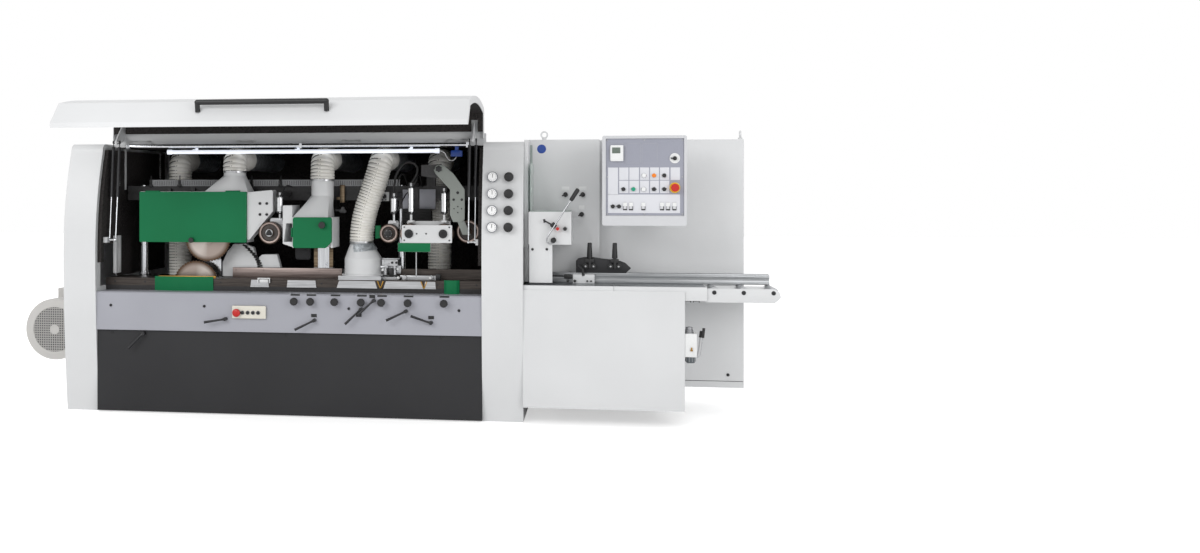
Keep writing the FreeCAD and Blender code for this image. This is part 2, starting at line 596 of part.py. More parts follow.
def cutter_unit_housing():
    (x0, x1), (z0, z1) = CUTTER_GUARD_X, CUTTER_GUARD_Z
    front, back = 128.0, PILLAR_FRONT
    box = softened(block(x0 - 72, x1 + 4, front, back, z0, z1 + 76), 8, Y_AXIS)
    room = block(x0 - 2, x1 - 8, front - 1, back - SHEET, z0 - 1, z1 - 10)
    left_room = slab_y([(x0 - 66, z0 + 38), (x0 - 8, z0 + 38), (x0 - 8, z1 - 40), (x0 - 50, z1 - 40)],
                       front - 1, back - SHEET)
    notch = slab_y([(x0 - 73, z0 - 1), (x0 - 6, z0 - 1), (x0 - 10, z0 + 6), (x0 - 73, z0 + 26)],
                   front - 1, back + 1)
    top = block(CUTTER_DUCT_X + 72, x1 + 40, front - 1, back + 1, z1 + 2, z1 + 90)
    dust = block(x0 + 20, x1 - 40, front + 30, back - 20, z1 - 20, z1 + 1)
    upper = block(x0 - 10, x1 + 40, front - 1, back + 1, z1 - 1, z1 + 90)
    shaft = turned_y(CUTTER_X, CUTTER_HEIGHT, back - 30, back + 30, SPINDLE_RADIUS + 12)
    shell = without(box, [room, left_room, notch, top, upper, dust, shaft])
    mouth = funnel(x0 - 6, x1 - 30, front + 8, back - 2, z1, CUTTER_DUCT_X, z1 + 140,
                   CUTTER_NECK_HEIGHT - z1 - 140)
    bearing = spindle_block(CUTTER_X, CUTTER_HEIGHT, PILLAR_FRONT, PILLAR_BACK, 70, CUTTER_HEIGHT - 70)
    tail = turned_y(CUTTER_X, CUTTER_HEIGHT, PILLAR_BACK, PILLAR_BACK + 190, 66)
    tail = without(tail, turned_y(CUTTER_X, CUTTER_HEIGHT, PILLAR_BACK - 1, PILLAR_BACK + 120,
                                  SPINDLE_RADIUS + 6))
    keep("cutter_unit_housing", shell, mouth, joined([bearing, tail]))


def side_spindle_hood():
    """The upright spindle's dust hood: a drum on a flange, drawn in to a leaning neck."""
    base = at(CUTTER_HOOD_X, CUTTER_HOOD_DEPTH, TABLE_TOP + HOOD_BASE)
    flange = bar(base, base + Vector(0, 0, 7), CUTTER_HOOD_FLANGE)
    drum_top = base + Vector(0, 0, 108)
    neck_top = SIDE_HOSE_START
    outer = [flange, bar(base, drum_top, CUTTER_HOOD_RADIUS)]
    inner = [bar(base - Z_AXIS, drum_top, CUTTER_HOOD_RADIUS - FUNNEL_WALL)]
    for shell, wall in ((outer, 0.0), (inner, FUNNEL_WALL)):
        foot = ring(drum_top, Z_AXIS, CUTTER_HOOD_RADIUS - wall, X_AXIS)
        top = ring(neck_top, Z_AXIS, DUCT_RADIUS - wall, X_AXIS)
        shell.append(Part.makeLoft([foot, top], True, True))
    keep("side_spindle_hood", without(joined(outer), inner))


SIDE_HOSE_START = at(428, CUTTER_HOOD_DEPTH - 2, 1100)


# Ribbed hoses and the ducts that they lead to
def route(points, radii):
    """Straight runs joined by tangent arcs."""
    edges, last = [], points[0]
    for before, corner, after, radius in zip(points, points[1:], points[2:], radii):
        into = (corner - before).normalize()
        out = (after - corner).normalize()
        half = into.getAngle(out) / 2
        cut = radius * math.tan(half)
        start, end = corner - into * cut, corner + out * cut
        inward = (out - into).normalize()
        middle = corner + inward * (radius / math.cos(half) - radius)
        if (start - last).Length > 0.01:
            edges.append(Part.LineSegment(last, start).toShape())
        edges.append(Part.Arc(start, middle, end).toShape())
        last = end
    edges.append(Part.LineSegment(last, points[-1]).toShape())
    return edges


def station(edges, distance):
    """The point and direction at a distance along a route."""
    for edge in edges:
        if distance <= edge.Length + 1e-6:
            parameter = edge.getParameterByLength(min(distance, edge.Length))
            return edge.valueAt(parameter), edge.tangentAt(parameter)
        distance -= edge.Length
    return edges[-1].valueAt(edges[-1].LastParameter), edges[-1].tangentAt(edges[-1].LastParameter)


def ribbed_hose(points, radii, ribs, steady):
    """A hose with a bore and round ribs, each drawn through four circles."""
    edges = route(points, radii)
    length = sum(edge.Length for edge in edges)
    pitch = length / ribs
    outer, inner = [], []
    for rib in range(ribs):
        for share, radius in ((0.0, HOSE_VALLEY), (0.3, HOSE_RADIUS), (0.6, HOSE_RADIUS), (0.9, HOSE_VALLEY)):
            centre, along = station(edges, (rib + share) * pitch)
            outer.append(ring(centre, along, radius, steady))
    centre, along = station(edges, length)
    outer.append(ring(centre, along, HOSE_VALLEY, steady))
    bores = max(2, ribs // 2)
    for step in range(bores + 1):
        centre, along = station(edges, length * step / bores)
        inner.append(ring(centre, along, HOSE_BORE, steady))
    return Part.makeLoft(outer, True, True).cut(Part.makeLoft(inner, True, True))


def extraction_hoses():
    straight = 10
    hoses = []
    for x, z, ribs in ((SAW_DUCT_X, SAW_NECK_HEIGHT + 30, 9), (CUTTER_DUCT_X, CUTTER_NECK_HEIGHT, 10)):
        bend = DUCT_HEIGHT - z - 2
        points = [at(x, NECK_DEPTH, z), at(x, NECK_DEPTH, DUCT_HEIGHT), at(x, DUCT_FRONT_DEPTH, DUCT_HEIGHT)]
        hoses.append(ribbed_hose(points, [min(bend, 120)], ribs, X_AXIS))
    start = SIDE_HOSE_START
    points = [start, at(428, 288, 1240), at(520, 288, 1500), at(SIDE_HOSE_X, 292, DUCT_HEIGHT),
              at(SIDE_HOSE_X, DUCT_FRONT_DEPTH, DUCT_HEIGHT)]
    hoses.append(ribbed_hose(points, [300, 500, 105], 24, X_AXIS))
    for x in BACK_HOSE_X:
        points = [at(x, BACK_HOSE_DEPTH, TABLE_BOTTOM + 40), at(x, BACK_HOSE_DEPTH, DUCT_HEIGHT),
                  at(x, BACK_HOSE_DEPTH + 190, DUCT_HEIGHT)]
        hoses.append(ribbed_hose(points, [120], 15, X_AXIS))
    keep("extraction_hoses", *hoses)


def extraction_spigots():
    """Galvanised ducts through the rear wall, and the collars at the foot of the hoses."""
    ducts = []
    for x in HOSE_X:
        front = DUCT_FRONT_DEPTH if x not in BACK_HOSE_X else BACK_HOSE_DEPTH + 190
        start, end = at(x, front, DUCT_HEIGHT), Vector(x, REAR + SPIGOT_OUT, DUCT_HEIGHT)
        pipe = bar(start, end, DUCT_RADIUS)
        spigot = bar(Vector(x, REAR + SPIGOT_STANDOFF, DUCT_HEIGHT), end, SPIGOT_RADIUS)
        ducts.append(without(joined([pipe, spigot]), bar(start - Y_AXIS, end + Y_AXIS, HOSE_BORE)))
    for x in BACK_HOSE_X:
        foot, top = at(x, BACK_HOSE_DEPTH, TABLE_BOTTOM), at(x, BACK_HOSE_DEPTH, TABLE_BOTTOM + 40)
        ducts.append(without(bar(foot, top, DUCT_RADIUS), bar(foot - Z_AXIS, top + Z_AXIS, HOSE_BORE)))
    keep("extraction_spigots", *ducts)


# Guards that open
def saw_guard():
    """The green front of the saw hood, hung on its top edge."""
    front, back = SAW_GUARD_FRONT, SAW_HOOD_FRONT - REST_GAP
    shell = block(SAW_HOOD_LEFT, SAW_HOOD_RIGHT, front, back, SAW_HOOD_BOTTOM, SAW_HOOD_TOP - 2)
    shell = softened(shell, 5, Y_AXIS)
    shell = without(shell, block(SAW_HOOD_LEFT + 4, SAW_HOOD_RIGHT - 4, front + 4, back + 1,
                                 SAW_HOOD_BOTTOM + 4, SAW_HOOD_TOP - 6))
    tabs = []
    for x in (-1011, -460):
        tabs.append(block(x, x + 98, front + 3, front + 14, SAW_HOOD_TOP - 4, SAW_HOOD_TOP + 2))
        tabs.append(bar(at(x, front + 14, SAW_HOOD_TOP + 2), at(x + 98, front + 14, SAW_HOOD_TOP + 2), 4))
    knob = turned_y(-686, SAW_HOOD_BOTTOM + 14, front - 26, front, 17)
    keep("saw_guard", joined([shell] + tabs), knob)


def cutter_guard():
    """The green door in front of the top cutter, hung on its left edge."""
    (x0, x1), (z0, z1) = CUTTER_GUARD_X, CUTTER_GUARD_Z
    front, back = 108.0, 128 - REST_GAP
    corner = 40.0
    door = slab_y([(x0, z0), (x1 - corner, z0), (x1, z0 + corner), (x1, z1), (x0, z1)], front, back)
    door = softened(door, 14, Y_AXIS)
    knob = turned_y(207, 1223, front - 30, front, 22)
    barrel = bar(at(x0 - 8, front + 8, z0 + 70), at(x0 - 8, front + 8, z0 + 130), 6)
    leaf = block(x0 - 8, x0 + 6, front + 6, front + 10, z0 + 74, z0 + 126)
    keep("cutter_guard", joined([door, leaf, barrel]), knob)


# Spindles
def saw(x, z, d, shaft_end, phase):
    """A toothed blade with its flanges on its shaft."""
    points = []
    for tooth in range(SAW_TEETH):
        for share, radius in ((0.0, SAW_RADIUS - 7), (0.35, SAW_RADIUS), (0.6, SAW_RADIUS - 1)):
            angle = 2 * math.pi * (tooth + share) / SAW_TEETH + phase
            points.append((x + radius * math.cos(angle), z + radius * math.sin(angle)))
    blade = slab_y(points, d, d + SAW_THICKNESS)
    flange = turned_y(x, z, d - 10, d + SAW_THICKNESS + 14, 45)
    nut = turned_y(x, z, d - 22, d - 10, 24)
    shaft = turned_y(x, z, d, shaft_end, SPINDLE_RADIUS)
    return joined([blade, flange, nut, shaft])


def spindles():
    keep("upper_saw", saw(UPPER_SAW_X, UPPER_SAW_HEIGHT, UPPER_SAW_DEPTH, PILLAR_BACK + 100, 0.0))
    keep("lower_saw", saw(LOWER_SAW_X, LOWER_SAW_HEIGHT, LOWER_SAW_DEPTH, 540, 0.06))
    shaft = turned_y(CUTTER_X, CUTTER_HEIGHT, 140, PILLAR_BACK + 100, SPINDLE_RADIUS)
    head = turned_y(CUTTER_X, CUTTER_HEIGHT, 160, 280, CUTTER_RADIUS)
    flutes, knives = [], []
    for step in range(4):
        turn = step * 90
        flute = block(CUTTER_X + 38, CUTTER_X + CUTTER_RADIUS + 4, 159, 281, CUTTER_HEIGHT - 4,
                      CUTTER_HEIGHT + 20)
        knife = block(CUTTER_X + 34, CUTTER_X + CUTTER_RADIUS + 5, 160, 280, CUTTER_HEIGHT - 8,
                      CUTTER_HEIGHT - 4)
        for shape, kept in ((flute, flutes), (knife, knives)):
            shape.rotate(at(CUTTER_X, 0, CUTTER_HEIGHT), Y_AXIS, turn)
            kept.append(shape)
    keep("top_cutter", joined([head.cut(flutes), shaft] + knives))


# Feed beam with its air cylinders, wiring duct and cover plates


def air_cylinder(x, top):
    """A barrel held to the beam by a bracket, bored for its rod."""
    barrel = bar(at(x, CYLINDER_DEPTH, CYLINDER_FOOT), at(x, CYLINDER_DEPTH, top), CYLINDER_RADIUS)
    nose = bar(at(x, CYLINDER_DEPTH, CYLINDER_FOOT - 8), at(x, CYLINDER_DEPTH, CYLINDER_FOOT), 13)
    lug = block(x - 16, x + 16, CYLINDER_DEPTH, BEAM_DEPTH, top, top + 26)
    web = block(x - 16, x + 16, BEAM_DEPTH - 14, BEAM_DEPTH, BEAM_BOTTOM + 8, top + 26)
    bore = bar(at(x, CYLINDER_DEPTH, CYLINDER_FOOT - 9), at(x, CYLINDER_DEPTH, CYLINDER_FOOT + 84),
               PISTON_ROD_RADIUS + FIT)
    return without(joined([barrel, nose, lug, web]), bore)


def feed_beam():
    beam = block(-1234, 1190, BEAM_DEPTH, BEAM_DEPTH + BEAM_THICKNESS, BEAM_BOTTOM, BEAM_BOTTOM + BEAM_HEIGHT)
    groove = block(-1235, 1191, BEAM_DEPTH - 1, BEAM_DEPTH + 10, BEAM_BOTTOM + 38, BEAM_BOTTOM + 58)
    bores = [bar(at(x, GUIDE_ROD_DEPTH, BEAM_BOTTOM - 1),
                 at(x, GUIDE_ROD_DEPTH, BEAM_BOTTOM + BEAM_HEIGHT + 1),
                 GUIDE_ROD_RADIUS + FIT) for x in GUIDE_ROD_X]
    beam = without(beam, bores + [groove])
    top = BEAM_BOTTOM + BEAM_HEIGHT
    duct = block(-1070, 664, BEAM_DEPTH, BEAM_DEPTH + 20, top, top + 40)
    pitch = 1734.0 / DUCT_SLOTS
    slots = [block(-1070 + pitch * (i + 0.35), -1070 + pitch * (i + 0.75), BEAM_DEPTH - 1, BEAM_DEPTH + 6,
                   top + 6, top + 34) for i in range(DUCT_SLOTS)]
    duct = without(duct, slots)
    cover = block(658, 906, BEAM_DEPTH - 6, BEAM_DEPTH, BEAM_BOTTOM - 57, BEAM_BOTTOM + 75)
    cover = without(cover, [block(x - 20, x + 20, 0, 500, BEAM_BOTTOM, BEAM_BOTTOM + 80) for x in (664, 776)])
    pivot_x, pivot_z = ARM_PIVOT
    bracket = slab_y([(pivot_x - 118, top + 62), (pivot_x + 20, top + 44), (pivot_x + 34, top + 92),
                      (pivot_x + 8, top + 140), (pivot_x - 118, top + 132)], 158, 190)
    post = block(pivot_x - 118, pivot_x - 60, 190, BEAM_DEPTH + 40, top + 62, top + 100)
    leg = block(pivot_x - 118, pivot_x - 60, BEAM_DEPTH, BEAM_DEPTH + 40, top, top + 62)
    pin = turned_y(pivot_x, pivot_z, 128, 158, 14)
    keep("feed_beam", beam, duct, cover, joined([bracket, post, leg, pin]),
         *[air_cylinder(x, top_z) for x, top_z in CYLINDERS.items()])


def piston_rod(x, foot):
    return bar(at(x, CYLINDER_DEPTH, foot), at(x, CYLINDER_DEPTH, CYLINDER_FOOT + 50), PISTON_ROD_RADIUS)


def axle(x, z, back):
    """A fixed axle with a head that keeps its roller on."""
    stub = turned_y(x, z, ROLLER_FRONT_DEPTH - 6, back, AXLE_RADIUS)
    head = turned_y(x, z, ROLLER_FRONT_DEPTH - 12, ROLLER_FRONT_DEPTH - 1, AXLE_RADIUS + 9)
    return [stub, head]


def roller_arms():
    plate_front = ROLLER_FRONT_DEPTH + ROLLER_WIDTH + 4
    for name, (x, radius, top) in UNITS.items():
        rod_x = min(CYLINDERS, key=lambda c: abs(c - x))
        crown = FEED_SHAFT_HEIGHT + radius + 8
        x0, x1 = min(x, rod_x) - 15, max(x, rod_x) + 24
        plate = softened(block(x0, x1, plate_front, plate_front + 12, FEED_SHAFT_HEIGHT - 30, crown + 14),
                         12, Y_AXIS)
        clevis = block(rod_x - 18, rod_x + 18, CYLINDER_DEPTH - 16, plate_front + 4, crown, crown + 12)
        ends = axle(x, FEED_SHAFT_HEIGHT, plate_front + 6)
        shape = joined([plate, clevis, piston_rod(rod_x, crown + 6)] + ends)
        keep(name + "_roller_arm", shape)
    x0, x1 = CARRIER_X[0] - 47, CARRIER_X[1] + 56
    low, high = FEED_SHAFT_HEIGHT - 58, FEED_SHAFT_HEIGHT + 55
    front = softened(block(x0, x1, 118, 128, low, high), 6, Y_AXIS)
    back = block(x0 + 20, x1 - 20, plate_front, plate_front + 10, low, high + 24)
    tie = bar(at(881, 128, FEED_SHAFT_HEIGHT), at(881, plate_front, FEED_SHAFT_HEIGHT), 16)
    ends = []
    for x in CARRIER_X:
        ends.append(turned_y(x, FEED_SHAFT_HEIGHT, 128, plate_front + 4, AXLE_RADIUS))
        ends.append(turned_y(x, FEED_SHAFT_HEIGHT, 106, 118, 29))
    for x in CARRIER_ROD_X:
        crown = FEED_SHAFT_HEIGHT + CARRIER_ROLLER_RADIUS + 8
        ends.append(block(x - 17, x + 17, CYLINDER_DEPTH - 16, plate_front + 8, crown, crown + 12))
        ends.append(piston_rod(x, crown + 6))
    deflector = block(699, 909, 116, 132, low - 58, low)
    keep("twin_roller_carrier", joined([front, back, tie, deflector] + ends))


def infeed_arm():
    (px, pz), (rx, rz) = ARM_PIVOT, ARM_ROLLER
    plate = slab_y([(px - 34, pz - 6), (px + 20, pz + 28), (px + 92, pz - 30), (1126, 1452), (1126, 1262),
                    (1104, 1246), (1052, 1246), (1032, 1290), (1032, 1452), (px - 20, pz - 34)], 136, 148)
    hub = turned_y(px, pz, 130, 154, 26)
    bore = turned_y(px, pz, 120, 170, 14 + FIT)
    foot = slab_y([(1062, 1290), (1106, 1290), (rx + 24, rz - 18), (rx - 26, rz - 18)], 144, 160)
    stub = turned_y(rx, rz, 152, 290, AXLE_RADIUS)
    keep("infeed_roller_arm", plate.fuse([hub, foot, stub]).cut(bore))


def roller(x, z, d0, d1, radius):
    """A feed roller: rim, web and hub, bored for its axle."""
    rim = turned_y(x, z, d0, d1, radius).cut(turned_y(x, z, d0 - 1, d1 + 1, radius - 14))
    web = turned_y(x, z, d0 + 18, d1 - 18, radius - 12)
    hub = turned_y(x, z, d0 + 4, d1 - 4, AXLE_RADIUS + 12)
    body = joined([rim, web, hub])
    return without(body, turned_y(x, z, d0 - 2, d1 + 2, AXLE_RADIUS + FIT))


def feed_rollers():
    d0, d1 = ROLLER_FRONT_DEPTH, ROLLER_FRONT_DEPTH + ROLLER_WIDTH
    for name, (x, radius, top) in UNITS.items():
        keep(name + "_roller", roller(x, FEED_SHAFT_HEIGHT, d0, d1, radius))
    for side, x in zip(("left", "right"), CARRIER_X):
        keep("carrier_roller_" + side, roller(x, FEED_SHAFT_HEIGHT, d0, d1, CARRIER_ROLLER_RADIUS))
    x, z = ARM_ROLLER
    keep("infeed_roller", roller(x, z, 222, 284, FEED_ROLLER_RADIUS + 1))


# Guard hood, drawn shut and turned up into the photographed pose
def hood_outline(x, with_lip=True):
    top = at(x, HINGE_DEPTH - 16, HINGE_HEIGHT + 3)
    shoulder = at(x, HINGE_DEPTH - 170, HINGE_HEIGHT + 24)
    brow = at(x, HINGE_DEPTH - 222, HINGE_HEIGHT - 13)
    chin = at(x, -32, LEDGE_HEIGHT + 156)
    lip = at(x, LEDGE_DEPTH - 73, LEDGE_HEIGHT + 26)
    heel = at(x, LEDGE_DEPTH - 43, LEDGE_HEIGHT + 22)
    turn_up = at(x, LEDGE_DEPTH - 43, LEDGE_HEIGHT + 52)
    edges = [
        Part.LineSegment(top, shoulder).toShape(),
        Part.Arc(shoulder, at(x, HINGE_DEPTH - 204, HINGE_HEIGHT + 16), brow).toShape(),
        Part.Arc(brow, at(x, -37, LEDGE_HEIGHT + 439), chin).toShape(),
        Part.LineSegment(chin, lip).toShape(),
    ]
    if with_lip:
        edges.append(Part.LineSegment(lip, heel).toShape())
        edges.append(Part.LineSegment(heel, turn_up).toShape())
    return Part.Wire(edges)


def skin(wire, thickness, length):
    return wire.makeOffset2D(-thickness, 2, True, True).extrude(Vector(length, 0, 0))


def raised(shape):
    shape = shape.copy()
    shape.rotate(HINGE, X_AXIS, -HOOD_SWING)
    return shape


def hood_bracket(x, studs):
    """The plate at each end of the hood that carries the heads of two struts."""
    head = (STRUT_HEAD_DEPTH, STRUT_HEAD_HEIGHT)
    outline = [(HINGE_DEPTH - 6, HINGE_HEIGHT + 20), (HINGE_DEPTH - 1, HINGE_HEIGHT + 20),
               (HINGE_DEPTH - 1, HINGE_HEIGHT + 118), (HINGE_DEPTH - 34, HINGE_HEIGHT + 118),
               (head[0] - 12, head[1] + 14),
               (head[0] - 12, head[1] - 14), (head[0] + 16, head[1] - 14)]
    plate = slab_x(outline, x - 4, x + 4)
    return joined([plate] + [bar(at(x, *head), at(end, *head), 6) for end in studs])


def hood():
    x0, x1 = LEFT_IN + HOOD_SIDE_GAP, RIGHT_IN - HOOD_SIDE_GAP
    sheet = skin(hood_outline(x0), HOOD_SHEET, x1 - x0)
    rims = [skin(hood_outline(x, False), HOOD_RIM, HOOD_SHEET) for x in (x0, x1 - HOOD_SHEET)]
    shell = raised(joined([sheet] + rims + [hood_knuckle(x) for x in KNUCKLE_X]))
    brackets = []
    for outer_x, inner_x in (STRUT_LEFT_X, STRUT_RIGHT_X):
        middle = (outer_x + inner_x) / 2
        reach = STRUT_SPACING / 2 - STRUT_EYE_THICKNESS / 2 - REST_GAP
        brackets.append(hood_bracket(middle, (middle - reach, middle + reach)))
    keep("hood_shell", joined([shell] + brackets))
    wire = hood_outline(x0 + HOOD_SHEET + REST_GAP, False)
    length = x1 - x0 - 2 * (HOOD_SHEET + REST_GAP)
    inner = wire.makeOffset2D(-HOOD_SHEET - REST_GAP, 2, False, True)
    foam = skin(inner, HOOD_FOAM, length)
    bare = [block(x0 - 1, x1 + 1, 216, 300, 1650, 1800), block(x0 - 1, x1 + 1, -80, 200, 700, 905)]
    foam = raised(foam.cut(bare))
    for bracket in brackets:
        box = bracket.BoundBox
        room = Part.makeBox(box.XLength + 12, box.YLength + 60, box.ZLength + 30,
                            Vector(box.XMin - 6, box.YMin - 40, box.ZMin - 10))
        foam = foam.cut(room)
    keep("hood_lining", foam)


def hood_handle():
    """A bar on two bent arms, on the slanting lower face of the hood."""
    slope = Vector(0, 109, -130).normalize()
    out = Vector(0, -130, -109).normalize()
    parts = []
    for x in (-372.0, 407.0):
        seat = at(x, 25, 874) + out * REST_GAP
        parts.append(bar(seat, seat + out * 46 + slope * -34, 15))
        parts.append(Part.makeSphere(16, seat + out * 46 + slope * -34))
    start = at(-372, 25, 874) + out * (46 + REST_GAP) + slope * -34
    parts.append(bar(start, start + Vector(779, 0, 0), 16))
    handle = joined(parts)
    keep("hood_handle", raised(handle.cut(seat_block(out))))


def seat_block(out):
    """Everything behind the face that the handle's arms stand on."""
    solid = Part.makeBox(1200, 200, 400, Vector(-600, 0, -200))
    turn = FreeCAD.Rotation(Vector(0, -1, 0), out)
    solid.Placement = FreeCAD.Placement(at(17, 25, 874) + out * REST_GAP, turn)
    return solid


# Gas struts: the rods turn on the column pins, the cylinders slide along the rods
def strut_line():
    foot = Vector(0, depth(STRUT_FOOT_DEPTH), STRUT_FOOT_HEIGHT)
    head = Vector(0, depth(STRUT_HEAD_DEPTH), STRUT_HEAD_HEIGHT)
    return foot, head, (head - foot).normalize()


def eye(centre, x, radius, bore):
    start = Vector(x - STRUT_EYE_THICKNESS / 2, centre.y, centre.z)
    end = start + Vector(STRUT_EYE_THICKNESS, 0, 0)
    return bar(start, end, radius).cut(bar(start - X_AXIS, end + X_AXIS, bore))


def struts():
    foot, head, along = strut_line()
    length = (head - foot).Length
    for side, places in (("left", STRUT_LEFT_X), ("right", STRUT_RIGHT_X)):
        rods, cylinders = [], []
        for x in places:
            base = Vector(x, foot.y, foot.z)
            rod_end = base + along * (length - STRUT_NECK - STRUT_STROKE - 2 * STRUT_SEAL)
            rod = bar(base + along * 9, rod_end, STRUT_ROD_RADIUS)
            rods.append(joined([rod, eye(foot, x, STRUT_EYE_RADIUS, STRUT_PIN_RADIUS + FIT)])
                        .cut(bar(base - X_AXIS * 30, base + X_AXIS * 30, STRUT_PIN_RADIUS + FIT)))
            low = base + along * STRUT_ROD_SHOWN
            high = base + along * (length - STRUT_NECK)
            tube = bar(low, high, STRUT_CYLINDER_RADIUS)
            neck = bar(high - along * 10, base + along * (length - 7.5), 3.2)
            bore = bar(low - along, high - along * STRUT_SEAL, STRUT_ROD_RADIUS + FIT)
            eye_ring = eye(Vector(x, head.y, head.z), x, STRUT_EYE_RADIUS, 6.5)
            cylinders.append(tube.fuse(neck).fuse(eye_ring).cut(bore))
        keep("strut_rods_" + side, *rods)
        keep("strut_cylinders_" + side, *cylinders)


# Controls on the apron


def lever_base(z):
    """The depth of the panel that a lever's stud stands on."""
    return 0.0 if z > APRON_BOTTOM else 15.0


def clamp_levers():
    for number, (x, z, angle) in enumerate(LEVERS, 1):
        base = lever_base(z)
        turn = math.radians(angle)
        way = Vector(math.cos(turn), 0, math.sin(turn))
        hub_front = base - 30
        hub = turned_y(x, z, hub_front, base - REST_GAP, HUB_RADIUS)
        start = at(x, hub_front + 9, z)
        knee = start + way * 26 + Vector(0, -12, 0)
        tip = start + way * LEVER_LENGTH + Vector(0, -26, 0)
        neck = Part.makeCone(8.5, 6.0, (knee - start).Length, start, knee - start)
        grip = Part.makeCone(6.0, 8.5, (tip - knee).Length, knee, tip - knee)
        lever = joined([hub, neck, grip])
        lever = lever.cut(turned_y(x, z, hub_front + 8, base + 1, STUD_RADIUS + FIT))
        keep("clamp_lever_%d" % number, lever)


def apron_fittings():
    pieces = []
    for x, z, _ in LEVERS:
        base = lever_base(z)
        pieces.append(turned_y(x, z, base - 20, base, STUD_RADIUS))
    for x in KNOB_X:
        z = 740.0
        stem = turned_y(x, z, -24, 0, 8)
        knob = turned_y(x, z, -46, -24, 23)
        pieces.append(joined([stem, knob]))
        pieces.append(block(x - 31, x + 31, 3, 34, LEDGE_HEIGHT - 12, LEDGE_HEIGHT - 3))
    for x, z in ((176, 650), (467, 656), (554, 776), (930, 649)):
        pieces.append(block(x - 18, x + 18, -3, 0, z - 10, z + 10))
    pieces.append(softened(block(-360, -137, -14, 0, 625, 706), 6, Y_AXIS))
    for x in (-290, -255, -220, -186):
        pieces.append(turned_y(x, 663, -24, -14, 11))
    pieces.append(turned_y(-327, 662, -30, -14, 24))
    keep("apron_fittings", *pieces)


# Right column: gauges and regulators, lifting eyes
def air_regulators():
    pieces = []
    for z in (1531, 1426, 1322, 1218):
        front = face_line(z)
        gauge = turned_y(1314, z, front - 24, front + 1, 30).cut(body_slab(RIGHT_IN, RIGHT_OUT, 0, 0))
        knob = joined([turned_y(1416, z, front - 14, front + 1, 12),
                       turned_y(1416, z, front - 44, front - 14, 27)])
        pieces.extend([gauge, knob.cut(body_slab(RIGHT_IN, RIGHT_OUT, 0, 0))])
    keep("air_regulators", *pieces)


# Infeed side
def infeed_panel():
    shell = block(RIGHT_OUT, INFEED_END, 0, CABINET_DEPTH, INFEED_PANEL_BOTTOM, INFEED_BOTTOM)
    shell = without(shell, block(RIGHT_OUT + SHEET, INFEED_END - SHEET, SHEET, CABINET_DEPTH - SHEET,
                                 INFEED_PANEL_BOTTOM - 1, INFEED_BOTTOM - SHEET))
    housing = block(RIGHT_OUT, HOUSING_END, HOUSING_DEPTH, CABINET_DEPTH, INFEED_BOTTOM, CABINET_TOP)
    housing = without(housing, block(RIGHT_OUT + SHEET, HOUSING_END - SHEET, HOUSING_DEPTH + SHEET,
                                     CABINET_DEPTH + 1,
                                     INFEED_BOTTOM - 1, CABINET_TOP - SHEET))
    cover = block(1536, 1801, 60, HOUSING_DEPTH, TUNNEL_TOP + 17, 1313)
    cover = without(cover, block(1536 + SHEET, 1801 - SHEET, 60 + SHEET, HOUSING_DEPTH + 1, TUNNEL_TOP,
                                 1313 - SHEET))
    apron = block(1541, 1684, 60, 66, TABLE_TOP + 4, TUNNEL_TOP + 17)
    knobs = [turned_y(x, z, 36, 60, r) for x, z, r in ((1717, 1208, 13), (1763, 1208, 14), (1692, 1229, 16))]
    selectors = []
    for x, z in ((1758, 1420), (1868, 1420), (1861, 1293)):
        selectors.append(joined([turned_y(x, z, HOUSING_DEPTH - 12, HOUSING_DEPTH, 15),
                                 block(x - 5, x + 5, HOUSING_DEPTH - 30, HOUSING_DEPTH - 12, z - 15,
                                       z + 15)]))
    stud = turned_y(1692, 1137, 30, 60, 8)
    pedestal = block(1700, 2350, 620, 1000, 0, CABINET_BOTTOM)
    pedestal = without(pedestal, block(1710, 2340, 630, 990, -1, CABINET_BOTTOM - 10))
    keep("infeed_panel", shell, housing, joined([cover, apron]), stud, pedestal, *knobs, *selectors)


def infeed_table():
    plates = [block(RIGHT_OUT, 2061, 8, FENCE_DEPTH + 34, INFEED_BOTTOM, INFEED_TOP),
              block(2063, INFEED_TABLE_END, 8, FENCE_DEPTH + 34, INFEED_BOTTOM, INFEED_TOP)]
    low, high = INFEED_TOP - 84, INFEED_TOP + 12
    sides = []
    for d in (20, FENCE_DEPTH - 12):
        side = block(INFEED_TABLE_END, EXTENSION_END, d, d + 8, low, high)
        edges = [e for e in side.Edges if abs(e.CenterOfMass.x - EXTENSION_END) < 1 and e.Length < 9]
        sides.append(side.makeFillet(40, edges))
    tie = block(INFEED_TABLE_END, INFEED_TABLE_END + 8, 20, FENCE_DEPTH - 4, low, INFEED_TOP - 6)
    pins = []
    for x in EXTENSION_X:
        pins.append(bar(at(x, 14, EXTENSION_Z), at(x, FENCE_DEPTH - 4, EXTENSION_Z), 8))
    keep("infeed_table", plates[0], plates[1], joined(sides + [tie] + pins))


def extension_rollers():
    for number, x in enumerate(EXTENSION_X, 1):
        body = turned_y(x, EXTENSION_Z, 32, FENCE_DEPTH - 16, EXTENSION_ROLLER_RADIUS)
        bore = turned_y(x, EXTENSION_Z, 31, FENCE_DEPTH - 15, 8 + FIT)
        keep("extension_roller_%d" % number, body.cut(bore))


